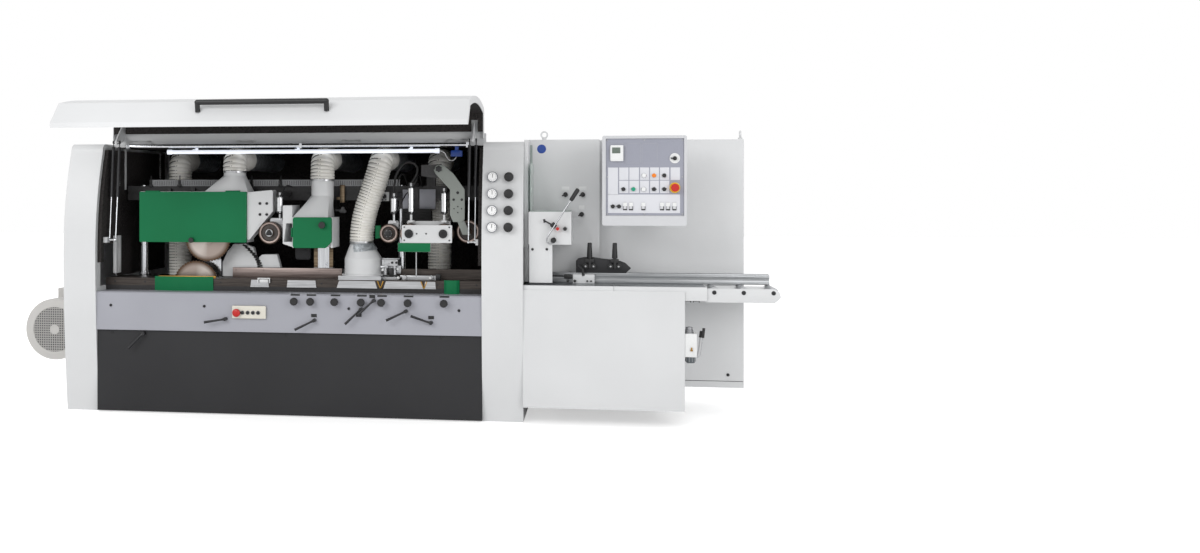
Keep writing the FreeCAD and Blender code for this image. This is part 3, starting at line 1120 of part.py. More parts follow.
def infeed_fence():
    x0, x1 = RIGHT_OUT, EXTENSION_END - 40
    fence = block(x0, x1, FENCE_DEPTH, FENCE_DEPTH + FENCE_THICKNESS, INFEED_TOP, INFEED_TOP + FENCE_HEIGHT)
    groove = block(x0 - 1, x1 + 1, FENCE_DEPTH - 1, FENCE_DEPTH + 8, INFEED_TOP + 28, INFEED_TOP + 38)
    top = INFEED_TOP + FENCE_HEIGHT
    plate = slab_y([(1826, top), (2140, top), (2172, top + 32), (2136, top + 70), (2080, top + 88),
                    (1950, top + 100), (1880, top + 100), (1826, top + 80)], FENCE_DEPTH, FENCE_DEPTH + 10)
    slots = []
    for x in (1930, 2080):
        slots.append(block(x - 34, x + 34, FENCE_DEPTH - 1, FENCE_DEPTH + 11, top + 42, top + 58))
    clamps = []
    for x in (1913, 2070):
        clamps.append(joined([
            block(x - 26, x + 26, FENCE_DEPTH - 26, FENCE_DEPTH, top + 62, top + 90),
            block(x - 12, x + 12, FENCE_DEPTH - 20, FENCE_DEPTH + 10, top + 40, top + 64),
            Part.makeCone(14, 9, 106, at(x - 2, FENCE_DEPTH - 14, top + 90), Z_AXIS)]))
    jig = block(1808, 1944, FENCE_DEPTH - 46, FENCE_DEPTH, INFEED_TOP, INFEED_TOP + 58)
    jig = softened(jig, 6, Y_AXIS)
    buttons = []
    for x in (1824, 1856, 1900, 1920):
        buttons.append(turned_y(x, INFEED_TOP + 16, FENCE_DEPTH - 58, FENCE_DEPTH - 46, 9))
    keep("infeed_fence", without(fence, groove), without(plate, slots), *clamps, jig, *buttons)


def clear_guard():
    sheet = block(1545, 1553, 80, HOUSING_DEPTH, 1313, 1616)
    shelf = block(1553, 1801, 90, HOUSING_DEPTH, 1313, 1321)
    upper = block(1513, 1545, HOUSING_DEPTH - 8, HOUSING_DEPTH, 1340, 1740)
    keep("clear_guard", joined([sheet, shelf]), upper)


def table_lever():
    """The long lever on the infeed cover, with its grip."""
    path = [at(1692, 16, 1137), at(1654, 16, 1132), at(1666, 16, 1176), at(1802, 16, 1388)]
    rods = [bar(a, b, 5) for a, b in zip(path, path[1:])]
    knees = [Part.makeSphere(5, point) for point in path[1:3]]
    hub = turned_y(1692, 1137, 8, 60 - REST_GAP, 16)
    grip = Part.makeCone(11, 14, 78, path[-1], Vector(23, 0, 72))
    lever = joined(rods + knees + [hub, grip]).cut(turned_y(1692, 1137, 26, 61, 8 + FIT))
    keep("table_lever", lever)


def control_box():
    x0, x1, z0, z1 = 1991.0, 2496.0, 1232.0, 1780.0
    case = softened(block(x0, x1, -50, 150, z0, z1), 12, Y_AXIS)
    recess = block(x0 + 22, x1 - 16, -51, -38, z0 + 60, z1 - 18)
    hollow = block(x0 + 6, x1 - 6, -34, 144, z0 + 6, z1 - 6)
    arm = block(2150, 2350, 150, CABINET_DEPTH, 1400, 1600)
    arm = without(arm, block(2156, 2344, 149, CABINET_DEPTH + 1, 1406, 1594))
    stop_hole = turned_y(*ESTOP, -60, -20, 12 + FIT)
    case = without(case, [recess, hollow, block(2200, 2300, 100, 151, 1450, 1550), stop_hole])
    plate = block(x0 + 24, x1 - 18, -42, -38, z0 + 62, z1 - 20).cut(stop_hole)
    meter = softened(block(2038, 2118, -58, -42, 1628, 1716), 5, Y_AXIS)
    buttons = []
    for px, z, radius in PANEL_BUTTONS:
        buttons.append(turned_y(px, z, -56, -42, radius))
    rockers = [block(x - 9, x + 9, -50, -42, 1334, 1376) for x in (2128, 2163, 2237, 2347, 2384, 2423)]
    disc = turned_y(ESTOP[0], 1643, -46, -42, 30)
    switch = block(ESTOP[0] - 26, ESTOP[0] + 8, -60, -46, 1636, 1650)
    collar = turned_y(*ESTOP, -50, -42, 32).cut(stop_hole)
    keep("control_box", case, arm, plate, meter, disc, switch, collar, *buttons, *rockers)


def emergency_stop():
    head = turned_y(*ESTOP, -84, -62, 24)
    stem = turned_y(*ESTOP, -62, -44, 12)
    keep("emergency_stop", joined([head, stem]))


def electrical_cabinet():
    x0, x1 = RIGHT_OUT, CABINET_END
    case = block(x0, x1, CABINET_DEPTH, 1000, CABINET_BOTTOM, CABINET_TOP)
    case = softened(case, 6, Z_AXIS)
    hollow = block(x0 + SHEET, x1 - SHEET, CABINET_DEPTH + SHEET, 1000 - SHEET, CABINET_BOTTOM + 44,
                   CABINET_TOP - SHEET)
    seam = block(x0 - 1, x1 + 1, CABINET_DEPTH - 1, CABINET_DEPTH + 2, CABINET_BOTTOM + 40,
                 CABINET_BOTTOM + 44)
    well = block(x0 + 200, x1 - 500, CABINET_DEPTH + 60, 600, CABINET_BOTTOM - 1, CABINET_BOTTOM + 50)
    case = without(case, [hollow, seam, well])
    eye_x = 2871.0
    base = at(eye_x, CABINET_DEPTH + 40, CABINET_TOP)
    lug = bar(base, base + Vector(0, 0, 12), 14)
    loop = lifting_ring(base + Vector(0, 0, 32), X_AXIS)
    column_base = Vector(1620, depth(HOUSING_DEPTH + 30), CABINET_TOP)
    lug_2 = bar(column_base, column_base + Vector(0, 0, 12), 14)
    loop_2 = lifting_ring(column_base + Vector(0, 0, 32), Y_AXIS)
    keep("electrical_cabinet", case, joined([lug, loop]), joined([lug_2, loop_2]))


def lifting_ring(centre, along):
    ends = (centre - along * 5, centre + along * 5)
    return bar(*ends, 25).cut(bar(centre - along * 6, centre + along * 6, 15))


def lubrication_unit():
    x0 = INFEED_END
    box = softened(block(x0, x0 + 74, 4, 80, 410, 550), 5, Y_AXIS)
    bowl = bar(at(x0 + 37, 42, 372), at(x0 + 37, 42, 410), 30)
    caps = [bar(at(x, 42, 550), at(x, 42, 580), 14) for x in (x0 + 20, x0 + 54)]
    lever = bar(at(x0 + 74, 30, 500), at(x0 + 112, 30, 560), 5)
    grip = bar(at(x0 + 100, 30, 541), at(x0 + 124, 30, 579), 10)
    keep("lubrication_unit", joined([box, bowl] + caps + [lever, grip]))


def drive_motor():
    x, z = -1720.0, 496.0
    cowl = turned_y(x, z, 300, 430, 208)
    room = turned_y(x, z, 306, 424, 202)
    cowl = cowl.cut(room)
    vents = []
    for count, radius in ((6, 62), (12, 124)):
        for step in range(count):
            angle = 2 * math.pi * step / count
            vents.append(turned_y(x + radius * math.cos(angle), z + radius * math.sin(angle), 299, 307, 15))
    cowl = cowl.cut(vents)
    body = turned_y(x, z, 430, 860, 186)
    fins = []
    for step in range(12):
        fin = block(x - 4, x + 4, 440, 840, z + 180, z + 204)
        fin.rotate(at(x, 0, z), Y_AXIS, step * 30)
        fins.append(fin)
    nose = turned_y(x, z, 860, 900, 120)
    box = block(x - 80, x + 80, 520, 700, z + 180, z + 262)
    foot = block(x, LEFT_OUT, 480, 820, z - 200, z - 150)
    gusset = block(LEFT_OUT - 14, LEFT_OUT, 480, 820, z - 300, z - 60)
    hollow = turned_y(x, z, 470, 820, 120)
    keep("drive_motor", cowl, joined([body.cut(hollow), nose, box, foot, gusset] + fins))


def build():
    side_columns()
    machine_bed()
    front_panels()
    rear_housing()
    acoustic_lining()
    work_table()
    side_guides()
    table_guards()
    guide_columns()
    work_light()
    saw_unit_housing()
    cutter_unit_housing()
    side_spindle_hood()
    extraction_hoses()
    extraction_spigots()
    saw_guard()
    cutter_guard()
    spindles()
    feed_beam()
    roller_arms()
    infeed_arm()
    feed_rollers()
    hood()
    hood_handle()
    struts()
    clamp_levers()
    apron_fittings()
    air_regulators()
    infeed_panel()
    infeed_table()
    extension_rollers()
    infeed_fence()
    clear_guard()
    table_lever()
    control_box()
    emergency_stop()
    electrical_cabinet()
    lubrication_unit()
    drive_motor()


build()
os.makedirs("parts", exist_ok=True)
for name, solids in nodes.items():
    whole = Part.Compound(solids)
    whole.exportStep("parts/%s.step" % name)
    box = whole.BoundBox
    print("%-22s %2d solids  x %.0f..%.0f  y %.0f..%.0f  z %.0f..%.0f  valid %s" % (
        name, len(solids), box.XMin, box.XMax, box.YMin, box.YMax, box.ZMin, box.ZMax, whole.isValid()))
print(len(nodes), "nodes")
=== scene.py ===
# %% [markdown]
# A four sided moulder planes timber on all four faces in one pass. Its guard hood is open here, so the
# rollers, saws and dust hoses show. The CAD model brings every part with a real size. This scene gives each
# part its finish, and adds the small pieces that CAD leaves out.

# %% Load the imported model
import math

import bmesh
import bpy
from mathutils import Matrix, Vector


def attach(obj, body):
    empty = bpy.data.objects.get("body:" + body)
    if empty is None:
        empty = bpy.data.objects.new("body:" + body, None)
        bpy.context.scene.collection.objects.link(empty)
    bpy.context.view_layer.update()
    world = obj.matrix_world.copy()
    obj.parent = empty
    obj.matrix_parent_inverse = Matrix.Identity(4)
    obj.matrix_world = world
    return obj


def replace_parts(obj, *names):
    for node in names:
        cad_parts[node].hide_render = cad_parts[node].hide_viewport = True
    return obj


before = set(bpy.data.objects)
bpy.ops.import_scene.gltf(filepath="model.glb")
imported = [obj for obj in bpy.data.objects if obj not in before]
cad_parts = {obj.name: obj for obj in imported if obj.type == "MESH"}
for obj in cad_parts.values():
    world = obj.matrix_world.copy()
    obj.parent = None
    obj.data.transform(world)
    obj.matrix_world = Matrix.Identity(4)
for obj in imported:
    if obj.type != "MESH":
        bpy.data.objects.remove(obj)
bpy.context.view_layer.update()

scene = bpy.context.scene

# %% [markdown]
# The photograph was taken by someone standing a little to the right, at head height. The lens is kept level,
# so the uprights stay parallel, and the sensor is shifted to frame the machine left of the middle.

# %% Camera
PHOTO_WIDTH = 1200
PRINCIPAL_PIXEL = (421.6, 191.0)
PHOTO_CENTRE = (600.0, 276.5)
CAMERA_PLACE = (1.969, -7.971, 1.443)
CAMERA_TURN = math.radians(8.53)

camera_data = bpy.data.cameras.new("camera")
camera_data.lens = 35.4
camera_data.sensor_width = 36.0
camera_data.shift_x = (PHOTO_CENTRE[0] - PRINCIPAL_PIXEL[0]) / PHOTO_WIDTH
camera_data.shift_y = (PRINCIPAL_PIXEL[1] - PHOTO_CENTRE[1]) / PHOTO_WIDTH
camera = bpy.data.objects.new("camera", camera_data)
camera.location = CAMERA_PLACE
camera.rotation_euler = (math.radians(90), 0, CAMERA_TURN)
scene.collection.objects.link(camera)
scene.camera = camera
print("shift", round(camera_data.shift_x, 4), round(camera_data.shift_y, 4))

# %% [markdown]
# Every finish is a small tree of nodes. One helper adds a node with its settings and links, and another
# turns the colours, which are written as they look on a screen, into the linear values that Blender mixes.


# %% Helpers for finishes
def add_node(tree, kind, inputs=(), **settings):
    node = tree.nodes.new(kind)
    for name, value in settings.items():
        setattr(node, name, value)
    for name, value in dict(inputs).items():
        if isinstance(value, bpy.types.NodeSocket):
            tree.links.new(value, node.inputs[name])
        else:
            node.inputs[name].default_value = value
    return node


def linear(hex_colour):
    channels = [int(hex_colour[i:i + 2], 16) / 255 for i in (0, 2, 4)]
    return tuple(c / 12.92 if c <= 0.04045 else ((c + 0.055) / 1.055) ** 2.4 for c in channels) + (1.0,)


def per_mm(size):
    """The texture scale at which one feature of the pattern is this many millimetres wide."""
    return 1000.0 / size


def new_finish(name, roughness, metallic=0.0):
    material = bpy.data.materials.new(name)
    material.use_nodes = True
    tree = material.node_tree
    tree.nodes.clear()
    shader = add_node(tree, "ShaderNodeBsdfPrincipled", {"Roughness": roughness, "Metallic": metallic})
    add_node(tree, "ShaderNodeOutputMaterial", {"Surface": shader.outputs[0]})
    place = add_node(tree, "ShaderNodeTexCoord").outputs["Object"]
    return material, tree, shader, place


def two_tones(tree, factor, dark, light, low=0.3, high=0.7):
    """A colour between two hex values, by a factor."""
    ramp = add_node(tree, "ShaderNodeValToRGB", {"Fac": factor})
    ramp.color_ramp.elements[0].position = low
    ramp.color_ramp.elements[0].color = linear(dark)
    ramp.color_ramp.elements[1].position = high
    ramp.color_ramp.elements[1].color = linear(light)
    return ramp.outputs["Color"]


def roughened(tree, shader, height, distance, strength=0.5):
    """Bump from a pattern, with its depth in metres."""
    bump = add_node(tree, "ShaderNodeBump", {"Height": height, "Distance": distance, "Strength": strength})
    tree.links.new(bump.outputs["Normal"], shader.inputs["Normal"])


# %% [markdown]
# The housings are sheet steel with powder coat, baked on. It has one even colour, a soft sheen, and a fine
# orange peel of about 2 mm that only shows where light grazes it. The peel is drawn at 5 mm so that it
# survives in the render.


# %% Powder coat
def powder_coat(name, dark, light, sheen=0.42, shine=0.5):
    material, tree, shader, place = new_finish(name, sheen)
    shader.inputs["Specular IOR Level"].default_value = shine
    cloud = add_node(tree, "ShaderNodeTexNoise", {"Vector": place, "Scale": per_mm(700), "Detail": 3.0})
    tree.links.new(two_tones(tree, cloud.outputs["Fac"], dark, light), shader.inputs["Base Color"])
    peel = add_node(tree, "ShaderNodeTexNoise", {"Vector": place, "Scale": per_mm(5), "Detail": 2.0})
    roughened(tree, shader, peel.outputs["Fac"], 0.00025)
    return material


HOUSING = powder_coat("powder_coat_light_grey", "CFD0D1", "D6D7D8")
APRON = powder_coat("powder_coat_blue_grey", "9B9CA4", "A2A3AB")
CHARCOAL = powder_coat("powder_coat_charcoal", "28282A", "2D2D2F", 0.5, 0.3)
GREEN = powder_coat("powder_coat_green", "08673D", "0B7146", 0.5, 0.2)
CONTROL_GREY = powder_coat("powder_coat_control_grey", "C1C2C5", "C8C9CC", 0.45)
MOTOR_GREY = powder_coat("powder_coat_motor_grey", "BDBBB8", "C6C4C1", 0.5)
ARM_GREY = powder_coat("powder_coat_arm_grey", "7E837E", "888D88", 0.45)
BLACK_COAT = powder_coat("powder_coat_black", "17171A", "1D1D20", 0.4)

# %% [markdown]
# The table and the bed are cast iron. Where timber slides on it the iron is ground flat, which leaves fine
# lines along the feed. A noise stretched along X by a Mapping node draws them, and also varies the gloss.


# %% Ground and brushed metal
def worked_metal(name, dark, light, roughness, line_mm, stretch, metallic=1.0):
    material, tree, shader, place = new_finish(name, roughness, metallic)
    lines = add_node(tree, "ShaderNodeMapping", {"Vector": place, "Scale": stretch})
    grain = add_node(tree, "ShaderNodeTexNoise",
                     {"Vector": lines.outputs["Vector"], "Scale": per_mm(line_mm), "Detail": 4.0})
    tree.links.new(two_tones(tree, grain.outputs["Fac"], dark, light, 0.35, 0.65),
                   shader.inputs["Base Color"])
    gloss = add_node(tree, "ShaderNodeMapRange", {"Value": grain.outputs["Fac"], "To Min": roughness - 0.08,
                                                  "To Max": roughness + 0.12})
    tree.links.new(gloss.outputs["Result"], shader.inputs["Roughness"])
    roughened(tree, shader, grain.outputs["Fac"], 0.0001, 0.3)
    return material


ALONG_FEED = (0.02, 1.0, 1.0)
ALONG_DEPTH = (1.0, 0.03, 1.0)
UPRIGHT = (1.0, 1.0, 0.03)
GROUND_IRON = worked_metal("ground_cast_iron", "3D3937", "57514D", 0.4, 3, ALONG_FEED)
INFEED_IRON = worked_metal("planed_infeed_iron", "8D9093", "A9ACAF", 0.36, 3, ALONG_FEED)
BRIGHT_STEEL = worked_metal("bright_steel", "A9AAAC", "C6C7C9", 0.3, 3, ALONG_FEED)
TURNED_STEEL = worked_metal("turned_steel", "8E8F92", "B0B1B3", 0.32, 3, ALONG_DEPTH)
EXTRUDED = worked_metal("extruded_aluminium", "8E9092", "A6A8AA", 0.36, 4, ALONG_FEED)
GUIDE_STEEL = worked_metal("worn_guide_steel", "6B5A4A", "96866F", 0.42, 4, ALONG_FEED)
FENCE_STEEL = worked_metal("fence_wear_plate", "7A6E6A", "9A8D88", 0.36, 5, ALONG_FEED)
BARREL = worked_metal("polished_air_barrel", "CFD0D2", "E6E7E8", 0.22, 6, UPRIGHT)
BRASS = worked_metal("machined_brass", "8F6B2E", "B58D48", 0.32, 4, ALONG_FEED)
CHROME = worked_metal("hard_chrome", "C9CBCF", "E2E4E7", 0.14, 8, UPRIGHT)
ROLLER_STEEL = worked_metal("feed_roller_steel", "3B322E", "54483F", 0.45, 3, ALONG_DEPTH)
RING_STEEL = worked_metal("roller_ring_steel", "8C7C76", "B2A39C", 0.3, 4, ALONG_DEPTH)


# %% [markdown]
# Other finishes: painted rough casting, galvanised duct with its large zinc flowers, black foam with open
# pores, moulded black plastic with a fine grain, and the clear and milky plastics.


# %% Castings, zinc, foam and plastics
def painted_casting(name, dark, light):
    material, tree, shader, place = new_finish(name, 0.55)
    sand = add_node(tree, "ShaderNodeTexNoise", {"Vector": place, "Scale": per_mm(9), "Detail": 5.0})
    tree.links.new(two_tones(tree, sand.outputs["Fac"], dark, light), shader.inputs["Base Color"])
    roughened(tree, shader, sand.outputs["Fac"], 0.0012)
    return material


def galvanised_sheet():
    material, tree, shader, place = new_finish("galvanised_sheet", 0.42, 0.55)
    flowers = add_node(tree, "ShaderNodeTexVoronoi", {"Vector": place, "Scale": per_mm(14)})
    tone = add_node(tree, "ShaderNodeSeparateColor", {"Color": flowers.outputs["Color"]})
    tree.links.new(two_tones(tree, tone.outputs["Red"], "9BA0A4", "C3C8CC", 0.1, 0.9),
                   shader.inputs["Base Color"])
    return material


def open_foam():
    material, tree, shader, place = new_finish("acoustic_foam", 0.92)
    pores = add_node(tree, "ShaderNodeTexVoronoi", {"Vector": place, "Scale": per_mm(14)})
    tree.links.new(two_tones(tree, pores.outputs["Distance"], "0C0B0B", "2A2625", 0.05, 0.55),
                   shader.inputs["Base Color"])
    roughened(tree, shader, pores.outputs["Distance"], 0.004, 0.9)
    return material


def moulded_plastic(name, dark, light, roughness=0.45):
    material, tree, shader, place = new_finish(name, roughness)
    grain = add_node(tree, "ShaderNodeTexNoise", {"Vector": place, "Scale": per_mm(2.5), "Detail": 2.0})
    tree.links.new(two_tones(tree, grain.outputs["Fac"], dark, light), shader.inputs["Base Color"])
    roughened(tree, shader, grain.outputs["Fac"], 0.00015)
    return material


def clear_sheet():
    material, tree, shader, place = new_finish("clear_polycarbonate", 0.06)
    haze = add_node(tree, "ShaderNodeTexNoise", {"Vector": place, "Scale": per_mm(60), "Detail": 3.0})
    tree.links.new(two_tones(tree, haze.outputs["Fac"], "D5E3DE", "E6F0EC"), shader.inputs["Base Color"])
    shader.inputs["Transmission Weight"].default_value = 0.55
    shader.inputs["IOR"].default_value = 1.2
    return material


def lamp_tube():
    material, tree, shader, place = new_finish("frosted_lamp", 0.4)
    frost = add_node(tree, "ShaderNodeTexNoise", {"Vector": place, "Scale": per_mm(30)})
    tree.links.new(two_tones(tree, frost.outputs["Fac"], "E3E8F0", "F3F6FA"), shader.inputs["Base Color"])
    shader.inputs["Emission Color"].default_value = linear("EEF3FF")
    shader.inputs["Emission Strength"].default_value = 0.6
    return material


def blade_steel(name, x_mm, z_mm):
    """Saw steel: bright ground rings about the hub, brown at the teeth, and a painted highlight across it:
    lighter and darker sectors by angle stand in for the sheen of the grinding.
    """
    material, tree, shader, place = new_finish(name, 0.3, 1.0)
    hub = add_node(tree, "ShaderNodeVectorMath", {0: place, 1: (x_mm / 1000, 0, z_mm / 1000)},
                   operation="SUBTRACT")
    flat = add_node(tree, "ShaderNodeVectorMath", {0: hub.outputs[0], 1: (1, 0, 1)}, operation="MULTIPLY")
    radius = add_node(tree, "ShaderNodeVectorMath", {0: flat.outputs[0]},
                      operation="LENGTH").outputs["Value"]
    parts = add_node(tree, "ShaderNodeSeparateXYZ", {"Vector": flat.outputs[0]})
    angle = add_node(tree, "ShaderNodeMath", {0: parts.outputs["Z"], 1: parts.outputs["X"]},
                     operation="ARCTAN2")
    # Painted highlight: the sine of twice the angle about the hub lightens two opposite sectors and darkens
    # two, standing in for the sheen of the grinding.
    turns = add_node(tree, "ShaderNodeMath", {0: angle.outputs[0], 1: 2.0}, operation="MULTIPLY")
    painted_shading = add_node(tree, "ShaderNodeMath", {0: turns.outputs[0]}, operation="SINE")
    steel = two_tones(tree, painted_shading.outputs[0], "A3968E", "C4BBB4", 0.0, 0.9)
    share = add_node(tree, "ShaderNodeMapRange", {"Value": radius, "From Min": 0.118, "From Max": 0.147})
    mixed = add_node(tree, "ShaderNodeMix", {"Factor": share.outputs["Result"]}, data_type="RGBA")
    tree.links.new(steel, mixed.inputs["A"])
    mixed.inputs["B"].default_value = linear("5A483A")
    tree.links.new(mixed.outputs["Result"], shader.inputs["Base Color"])
    rings = add_node(tree, "ShaderNodeTexNoise", {"W": radius, "Scale": per_mm(1.5)}, noise_dimensions="1D")
    roughened(tree, shader, rings.outputs["Fac"], 0.00008, 0.4)
    return material


UPPER_BLADE = blade_steel("upper_blade_steel", -604, 1130)
LOWER_BLADE = blade_steel("lower_blade_steel", -697, 821)
BED_CASTING = painted_casting("painted_cast_iron", "1B1A1B", "252425")
BEAM_CASTING = painted_casting("painted_beam_iron", "2A292A", "353435")
GALVANISED = galvanised_sheet()
FOAM = open_foam()
BLACK_PLASTIC = moulded_plastic("moulded_black_plastic", "101011", "1A1A1C")
WHITE_PLASTIC = moulded_plastic("moulded_white_plastic", "D9DADA", "E6E7E7")
RED_PLASTIC = moulded_plastic("moulded_red_plastic", "B01813", "C22019", 0.3)
YELLOW_PLASTIC = moulded_plastic("moulded_yellow_plastic", "D9A800", "E5B400", 0.35)
ORANGE_PLASTIC = moulded_plastic("moulded_orange_plastic", "E07410", "EC8418", 0.3)
TEAL_PLASTIC = moulded_plastic("moulded_green_plastic", "0F8A6A", "149A78", 0.3)
BLUE_PLASTIC = moulded_plastic("moulded_blue_plastic", "1C3F8C", "244A9C", 0.35)
RUBBER = moulded_plastic("black_rubber", "141414", "202020", 0.7)
CLEAR = clear_sheet()
LAMP = lamp_tube()

# %% [markdown]
# Each CAD part keeps its own shape and gets one of these finishes. Where the photograph shows a second one on
# the same part, such as the bright barrels on the dark beam, a thin piece of its own lies over it.


# %% Finishes for the CAD parts
PARTS_OF = [
    (BED_CASTING, "machine_bed"),
    (HOUSING, "side_columns rear_housing saw_unit_housing cutter_unit_housing side_spindle_hood "
     "infeed_panel electrical_cabinet lubrication_unit hood_shell twin_roller_carrier"),
    (APRON, "front_apron"),
    (CHARCOAL, "lower_front_panel"),
    (FOAM, "acoustic_lining hood_lining"),
    (GROUND_IRON, "work_table"),
    (BRIGHT_STEEL, "side_guides infeed_fence outfeed_roller_arm middle_roller_arm"),
    (GALVANISED, "extraction_spigots"),
    (CHROME, "guide_columns"),
    (LAMP, "work_light"),
    (GREEN, "table_guards saw_guard cutter_guard"),
    (INFEED_IRON, "infeed_table"),
    (CLEAR, "clear_guard"),
    (CONTROL_GREY, "control_box"),
    (BLACK_PLASTIC, "air_regulators apron_fittings hood_handle"),
    (MOTOR_GREY, "drive_motor"),
    (UPPER_BLADE, "upper_saw"),
    (LOWER_BLADE, "lower_saw"),
    (TURNED_STEEL, "top_cutter"),
    (BEAM_CASTING, "feed_beam"),
    (ARM_GREY, "infeed_roller_arm"),
    (BLACK_COAT, "table_lever"),
    (RED_PLASTIC, "emergency_stop"),
]
FINISH = {name: finish for finish, names in PARTS_OF for name in names.split()}
for name in ("outfeed", "middle", "infeed"):
    FINISH[name + "_roller"] = ROLLER_STEEL
for side in ("left", "right"):
    FINISH["carrier_roller_" + side] = ROLLER_STEEL
    FINISH["strut_rods_" + side] = CHROME
    FINISH["strut_cylinders_" + side] = BLACK_COAT
for number in range(1, 8):
    FINISH["clamp_lever_%d" % number] = BLACK_COAT
for number in range(1, 4):
    FINISH["extension_roller_%d" % number] = BRIGHT_STEEL

for name, finish in FINISH.items():
    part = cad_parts[name]
    part.data.materials.clear()
    part.data.materials.append(finish)
print("finished", len(FINISH), "of", len(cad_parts), "CAD parts")

# %% [markdown]
# Most finishes always go with one slot, which this table gives, and a finish that isn't in it goes with
# black plastic. A piece that differs names its slot.

# %% Slots of the finishes
SLOT_FINISHES = {
    "acoustic_foam": (FOAM,),
    "black_paint": (BLACK_COAT, CHARCOAL,),
    "bright_steel": (BRIGHT_STEEL, BARREL, BRASS, TURNED_STEEL, EXTRUDED,),
    "bronze_steel": (GUIDE_STEEL, FENCE_STEEL, ROLLER_STEEL, RING_STEEL,),
    "chromed": (CHROME,),
    "galvanised": (GALVANISED,),
    "ground_iron": (INFEED_IRON,),
    "guard_green": (GREEN,),
    "housing_paint": (APRON, HOUSING,),
    "motor_paint": (MOTOR_GREY,),
    "red_plastic": (YELLOW_PLASTIC, RED_PLASTIC,),
}
SLOT_OF = {finish.name: slot for slot, finishes in SLOT_FINISHES.items() for finish in finishes}

# %% [markdown]
# The small pieces are modelled with bmesh: turned parts are a profile spun about an axis, plates are a cube
# with bevelled edges, sheet parts are an outline drawn out in depth, and thin hoses follow a curve. The helpers
# below make those, and put the result in the scene on the body that carries it.

# %% Helpers for shapes
FRONT = -0.640
OUT = (0, -1, 0)
UP = (0, 0, 1)


def behind(depth_mm):
    """The Y of a point this far behind the flat front of the machine."""
    return FRONT + depth_mm / 1000


def at(x_mm, depth_mm, z_mm):
    return Vector((x_mm / 1000, behind(depth_mm), z_mm / 1000))


def ring_of(centre, count, radius_mm):
    """Places evenly around a point, in a plane that faces the operator."""
    for step in range(count):
        turn = Matrix.Rotation(math.tau * step / count, 3, "Y")
        yield centre + turn @ Vector((0, 0, radius_mm / 1000))


def add_piece(name, mesh, finish, body="machine_frame", slot=None, smooth_below=35):
    """Put a finished bmesh in the scene as one piece that rides on a body. The slot argument is not used."""
    slot = slot or SLOT_OF.get(finish.name, "black_plastic")
    bmesh.ops.recalc_face_normals(mesh, faces=mesh.faces)
    data = bpy.data.meshes.new(name)
    mesh.to_mesh(data)
    mesh.free()
    for face in data.polygons:
        face.use_smooth = True
    data.set_sharp_from_angle(angle=math.radians(smooth_below))
    data.materials.append(finish)
    piece = bpy.data.objects.new(name, data)
    scene.collection.objects.link(piece)
    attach(piece, body)
    return piece


def turned(mesh, profile, centre, axis, steps=32):
    """Spin a profile of (radius, distance along the axis) pairs, in millimetres, about an axis."""
    axis = Vector(axis).normalized()
    side = axis.orthogonal().normalized()
    points = [centre + side * (r / 1000) + axis * (a / 1000) for r, a in profile]
    verts = [mesh.verts.new(p) for p in points]
    edges = [mesh.edges.new(pair) for pair in zip(verts, verts[1:])]
    bmesh.ops.spin(mesh, geom=verts + edges, cent=centre, axis=axis, angle=math.tau, steps=steps,
                   use_merge=True)
    bmesh.ops.remove_doubles(mesh, verts=mesh.verts[:], dist=0.00002)


def plate(mesh, low, high, bevel_mm=1.0, segments=2):
    """A block between two corners, with its edges rounded."""
    made = bmesh.ops.create_cube(mesh, size=1.0)["verts"]
    size = high - low
    bmesh.ops.scale(mesh, vec=size, verts=made)
    bmesh.ops.translate(mesh, vec=(low + high) / 2, verts=made)
    edges = list({edge for vert in made for edge in vert.link_edges})
    if bevel_mm:
        bmesh.ops.bevel(mesh, geom=edges, offset=bevel_mm / 1000, segments=segments, profile=0.5,
                        affect="EDGES", material=-1)


def small_block(mesh, centre, half_mm):
    """A sharp block about its centre, from half its width, depth and height."""
    half = Vector(half_mm) / 1000
    plate(mesh, centre - half, centre + half, 0)


def socket_bolt(mesh, centre, radius_mm, height_mm):
    """A cap screw that faces the operator: a short cylinder with a round edge and a six sided socket."""
    r, h = radius_mm, height_mm
    turned(mesh, [(0, 0), (r, 0), (r, h * 0.85), (r * 0.88, h), (r * 0.52, h)], centre, OUT, 18)
    turned(mesh, [(r * 0.52, h), (r * 0.5, h * 0.4), (0, h * 0.4)], centre, OUT, 6)


def bolts(mesh, places, depth, radius_mm, height_mm):
    """Cap screws at places given in X and Z."""
    for x, z in places:
        socket_bolt(mesh, at(x, depth, z), radius_mm, height_mm)


def bar(mesh, start, end, radius_mm, steps=16):
    """A round rod between two points, with its rims taken off."""
    length = (end - start).length * 1000
    rim = min(radius_mm * 0.15, 1.0)
    profile = [(0, 0), (radius_mm - rim, 0), (radius_mm, rim), (radius_mm, length - rim),
               (radius_mm - rim, length), (0, length)]
    turned(mesh, profile, start, end - start, steps)


def profiled(mesh, outline, front, back, bevel_mm=1.0):
    """A plate between two depths, over an outline given in X and Z."""
    rim = [mesh.verts.new(at(x, front, z)) for x, z in outline]
    made = bmesh.ops.extrude_face_region(mesh, geom=[mesh.faces.new(rim)])["geom"]
    far = [part for part in made if isinstance(part, bmesh.types.BMVert)]
    bmesh.ops.translate(mesh, vec=(0, (back - front) / 1000, 0), verts=far)
    if bevel_mm:
        edges = list({edge for vert in rim + far for edge in vert.link_edges})
        bmesh.ops.bevel(mesh, geom=edges, offset=bevel_mm / 1000, segments=2, profile=0.5, affect="EDGES",
                        material=-1)


def lobed_knob(mesh, x, depth, z, radius_mm, lobes, height_mm, hollow=0.18):
    """A hand knob with round lobes that faces the operator."""
    outline = []
    for step in range(lobes * 8):
        angle = math.tau * step / (lobes * 8)
        radius = radius_mm * (1 - hollow * (0.5 - 0.5 * math.cos(lobes * angle)))
        outline.append((x + radius * math.sin(angle), z + radius * math.cos(angle)))
    profiled(mesh, outline, depth - height_mm, depth, 1.5)


